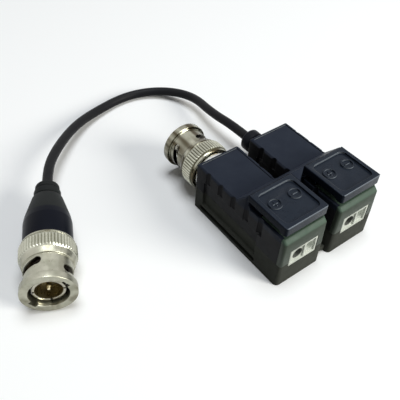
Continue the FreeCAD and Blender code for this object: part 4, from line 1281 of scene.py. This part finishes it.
@dataclass
class Housing:
    """One balun unit's outside: shells, terminal block, wire guide and lever."""

    palette: Palette
    side: Side
    roof_groove: float = 0.3
    # Heights from the roof's lower edge and place behind the front of the faces with a painted highlight
    roof_highlight: Span = (-0.29, 0.05)
    roof_highlight_from: float = 30.0
    tray_corner: float = 1.3
    tongue_cut: float = 5.0
    # Places from the unit's front left lower corner
    guide_corner: Place = (3.3, 0.1, 6.2)
    wire_first: float = 6.5
    wire_pitch: float = 4.2
    wire_height: float = 9.0
    wire_radius: float = 1.1
    mouth_radius: float = 1.65
    mouth_front: float = 0.6
    mouth_back: float = 1.85
    entry_back: float = 4.7
    entry_wall: float = 0.05
    entry_gap: float = 0.01

    def build(self) -> None:
        """Finish the outside pieces."""
        unit = self.side.value
        soften = partial(Softened, self.palette)
        lowest, highest = self.roof_highlight
        # The groove's front-facing wall along the back of the roof gets a painted highlight
        soften(f"{unit}_upper_shell", Look.HOUSING, groove=self.roof_groove,
               painted_highlight=(ROOF_HEIGHT + lowest, ROOF_HEIGHT + highest),
               highlight_from=self.roof_highlight_from, highlight_rims=False).build()
        # The tray wears the lit copy of the housing plastic: painted light
        soften(f"{unit}_lower_shell", Look.TRAY, corner=self.tray_corner,
               corners_of=f"{unit}_upper_shell",
               tongue_cut=self.tongue_cut if self.side is Side.RIGHT else 0.0).build()
        soften(f"{unit}_terminal_block", Look.TERMINAL).build()
        soften(f"{unit}_wire_guide", Look.GUIDE).build()
        # Painted shade in the positive entry, painted light in the negative one
        self.entry("positive", self.wire_first, Look.ENTRY_DARK)
        self.entry("negative", self.wire_first + self.wire_pitch, Look.ENTRY_PALE)
        Lever(self.palette, self.side).build()

    def entry(self, name: str, across: float, look: Look) -> None:
        """Line one wire entry of the guide with a thin stepped sleeve, whose colour sets how dark the hole looks.

        Args:
            name: Name of the wire.
            across: Its place from the unit's left wall.
            look: Finish of the sleeve.
        """
        node = f"{self.side.value}_wire_guide"
        corner = Vector(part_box(node)[0]) / MM - Vector(self.guide_corner)
        spot = corner + Vector((across, 0.0, self.wire_height))
        wide = self.entry_wall
        mouth, hole = self.mouth_radius - self.entry_gap, self.wire_radius - self.entry_gap
        front, step, back = self.mouth_front, self.mouth_back - wide, self.entry_back
        profile = [(front, mouth), (front, mouth - wide), (step - wide, mouth - wide),
                   (step - wide, hole - wide), (back, hole - wide), (back, hole),
                   (step, hole), (step, mouth)]
        place = Matrix.Translation(spot) @ Matrix.Rotation(math.radians(90.0), 4, "Z")
        piece = settle(lathe(f"{self.side.value}_{name}_entry", profile, place, 48))
        self.palette.fit(piece, look, node, stands_for=False)


@dataclass
class Lever:
    """Press lever with a plus and a minus sign in its two rings."""

    palette: Palette
    side: Side
    edge: float = 0.16
    corner: float = 0.8
    top_to_dish: float = 0.6
    sign_rise: float = 0.18
    sign_foot: float = 0.05
    sign_width: float = 0.34
    sign_length: float = 1.7
    ring_offset: float = 3.3
    ring_place: float = 8.4

    def build(self) -> None:
        """Finish the lever and raise its signs."""
        node = f"{self.side.value}_press_lever"
        low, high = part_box(node)
        floor = high[2] - self.top_to_dish * MM
        # Heights of the dish's walls and rims that get a painted highlight
        wear_and_sheen = (floor / MM - 0.02, high[2] / MM + 0.1)
        lever = Softened(self.palette, node, Look.LEVER, self.edge, corner=self.corner,
                         painted_highlight=wear_and_sheen).build()
        mark(lever, MATT, lambda face: abs(face.normal.x) > 0.5)
        shape = bmesh.new()
        for direction, turns in ((-1.0, (0.0, 90.0)), (1.0, (0.0,))):
            spot = Vector(((low[0] + high[0]) / 2 + direction * self.ring_offset * MM,
                           low[1] + self.ring_place * MM, floor))
            for turn in turns:
                self.bar(shape, spot, turn)
        signs = settle(new_piece(f"{self.side.value}_lever_signs", shape))
        # The signs' front-facing walls get the painted highlight too
        mark_highlight(signs, wear_and_sheen, low[1])
        self.palette.fit(signs, Look.LEVER, node, stands_for=False)

    def bar(self, shape: Shape, spot: Vector, turn: float) -> None:
        """Add one raised bar with sloping sides.

        Args:
            shape: Mesh that it goes into.
            spot: Middle of its foot, in metres.
            turn: Its direction from X.
        """
        slope = self.sign_rise * 0.5
        move = Matrix.Translation(spot) @ Matrix.Rotation(math.radians(turn), 4, "Z")
        sections = []
        for inset, z in ((0.0, -self.sign_foot), (0.0, slope), (slope, self.sign_rise)):
            x, y = self.sign_length / 2 - inset, self.sign_width / 2 - inset
            sections.append([move @ (Vector(corner) * MM)
                             for corner in ((-x, -y, z), (x, -y, z), (x, y, z), (-x, y, z))])
        skin(shape, sections)


# Pigtail cord


@dataclass
class Pigtail:
    """Cord from the gland of the right unit to the strain boot of the free plug."""

    palette: Palette
    radius: float = 1.5
    # Length in metres
    length: float = 0.1182
    # Route from the boot to the gland, from the front left lower corner of the left unit
    route: tuple[Place, ...] = (
        (-34.78, 60.41, 7.4), (-31.65, 67.34, 7.4), (-25.0, 75.4, 6.6), (-14.6, 85.0, 4.4),
        (-4.6, 90.8, 2.3), (10.9, 94.3, 1.6), (22.7, 89.1, 2.3), (28.9, 77.8, 3.9),
        (26.6, 62.9, 6.2), (27.0, 52.2, 7.5), (27.0, 44.5, 7.5))

    def build(self) -> None:
        """Lay the cord."""
        curve = bpy.data.curves.new("cord", "CURVE")
        curve.dimensions = "3D"
        curve.resolution_u = 24
        curve.bevel_depth = self.radius * MM
        curve.bevel_resolution = 8
        curve.use_fill_caps = True
        spline = curve.splines.new("NURBS")
        points = [(Vector(point) + UNIT_CORNER) * MM for point in reversed(self.route)]
        spline.points.add(len(points) - 1)
        for held, point in zip(spline.points, points):
            held.co = (*point, 1.0)
        spline.order_u = 3
        spline.use_endpoint_u = True
        cord = self.palette.fit(stand("cord", curve), Look.CORD, "pigtail_cord")


# Studio


@dataclass(frozen=True)
class Lamp:
    """Round soft lamp that faces the object."""

    name: str
    # Where it hangs and its width, in metres
    place: Place
    width: float
    # Power in watts
    power: float
    colour: Colour

    def hang(self) -> None:
        """Hang the lamp."""
        data = bpy.data.lights.new(self.name, "AREA")
        data.shape = "DISK"
        data.size = self.width
        data.energy = self.power
        data.color = self.colour
        lamp = stand(self.name, data)
        lamp.location = self.place
        way = Vector((0.0, 0.0, 0.01)) - Vector(self.place)
        lamp.rotation_euler = way.to_track_quat("-Z", "Y").to_euler()


@dataclass
class Studio:
    """Floor, lamps and camera."""

    azimuth: float = -37.389
    elevation: float = 45.996
    roll: float = 1.71
    distance: float = 160.05
    # Point that the camera looks at, from the front left lower corner of the left unit
    target: Place = (2.53, 36.92, 0.0)
    lens: float = 47.63
    # Shade of the floor to the camera, and to the light that it throws back
    paper: Colour = (0.94, 0.94, 0.94)
    paper_glow: Colour = (0.25, 0.25, 0.25)
    fill: float = 0.12
    lamps: tuple[Lamp, ...] = (Lamp("top", (0.06, 0.0, 1.0), 0.6, 6.7, (0.93, 0.97, 1.0)),
                               Lamp("front", (0.42, -0.78, 0.46), 0.45, 8.6, (1.0, 0.99, 0.93)))

    def camera(self) -> None:
        """Stand the camera where the photograph was taken from."""
        azimuth, elevation, roll = map(math.radians, (self.azimuth, self.elevation, self.roll))
        back = Vector((math.sin(azimuth) * math.cos(elevation),
                       -math.cos(azimuth) * math.cos(elevation), math.sin(elevation)))
        level = Vector((math.cos(azimuth), math.sin(azimuth), 0.0))
        upright = back.cross(level)
        right = level * math.cos(roll) + upright * math.sin(roll)
        up = upright * math.cos(roll) - level * math.sin(roll)
        data = bpy.data.cameras.new("camera")
        data.lens = self.lens
        data.clip_start = 0.005
        data.clip_end = 10.0
        camera = stand("camera", data)
        turn = Matrix((right, up, back)).transposed().to_4x4()
        spot = Vector(self.target) + UNIT_CORNER + back * self.distance
        camera.matrix_world = Matrix.Translation(spot * MM) @ turn
        bpy.context.scene.camera = camera

    def floor(self) -> None:
        """Lay a wide pale floor that keeps the object's soft shadow."""
        bpy.ops.mesh.primitive_plane_add(size=6.0, location=(0.0, 0.0, -0.05 * MM))
        plane = bpy.context.object
        plane.name = "floor"
        nodes = Nodes("floor_paper")
        nodes.feed(nodes.surface["Base Color"],
                   nodes.mix(nodes.shows_white(), self.paper_glow, self.paper))
        nodes.surface["Roughness"].default_value = 0.9
        nodes.surface["Specular IOR Level"].default_value = 0.1
        plane.data.materials.append(nodes.material)

    def world(self) -> None:
        """Fill the scene with even pale light, and show white behind the floor."""
        world = bpy.data.worlds.new("studio")
        bpy.context.scene.world = world
        world.use_nodes = True
        tree = Tree(world.node_tree)
        background = world.node_tree.nodes["Background"].inputs
        background["Color"].default_value = (1.0, 1.0, 1.0, 1.0)
        tree.feed(background["Strength"],
                  tree.spread(tree.shows_white(), self.fill, 1.0, 0.0, 1.0))

    def build(self) -> None:
        """Set up the whole studio."""
        bpy.context.scene.view_settings.view_transform = "Standard"
        self.camera()
        self.floor()
        self.world()
        for lamp in self.lamps:
            lamp.hang()


def main() -> None:
    """Build every sub-assembly and the studio."""
    palette = Palette()
    palette.dress_cad()
    for side in Side:
        Housing(palette, side).build()
    Softened(palette, "joining_clip", Look.HOUSING).build()
    Softened(palette, "cord_gland", Look.GLAND).build()
    for kind in Kind:
        BayonetPlug(palette, kind).build()
    Pigtail(palette).build()
    Studio().build()


if __name__ == "__main__":
    main()
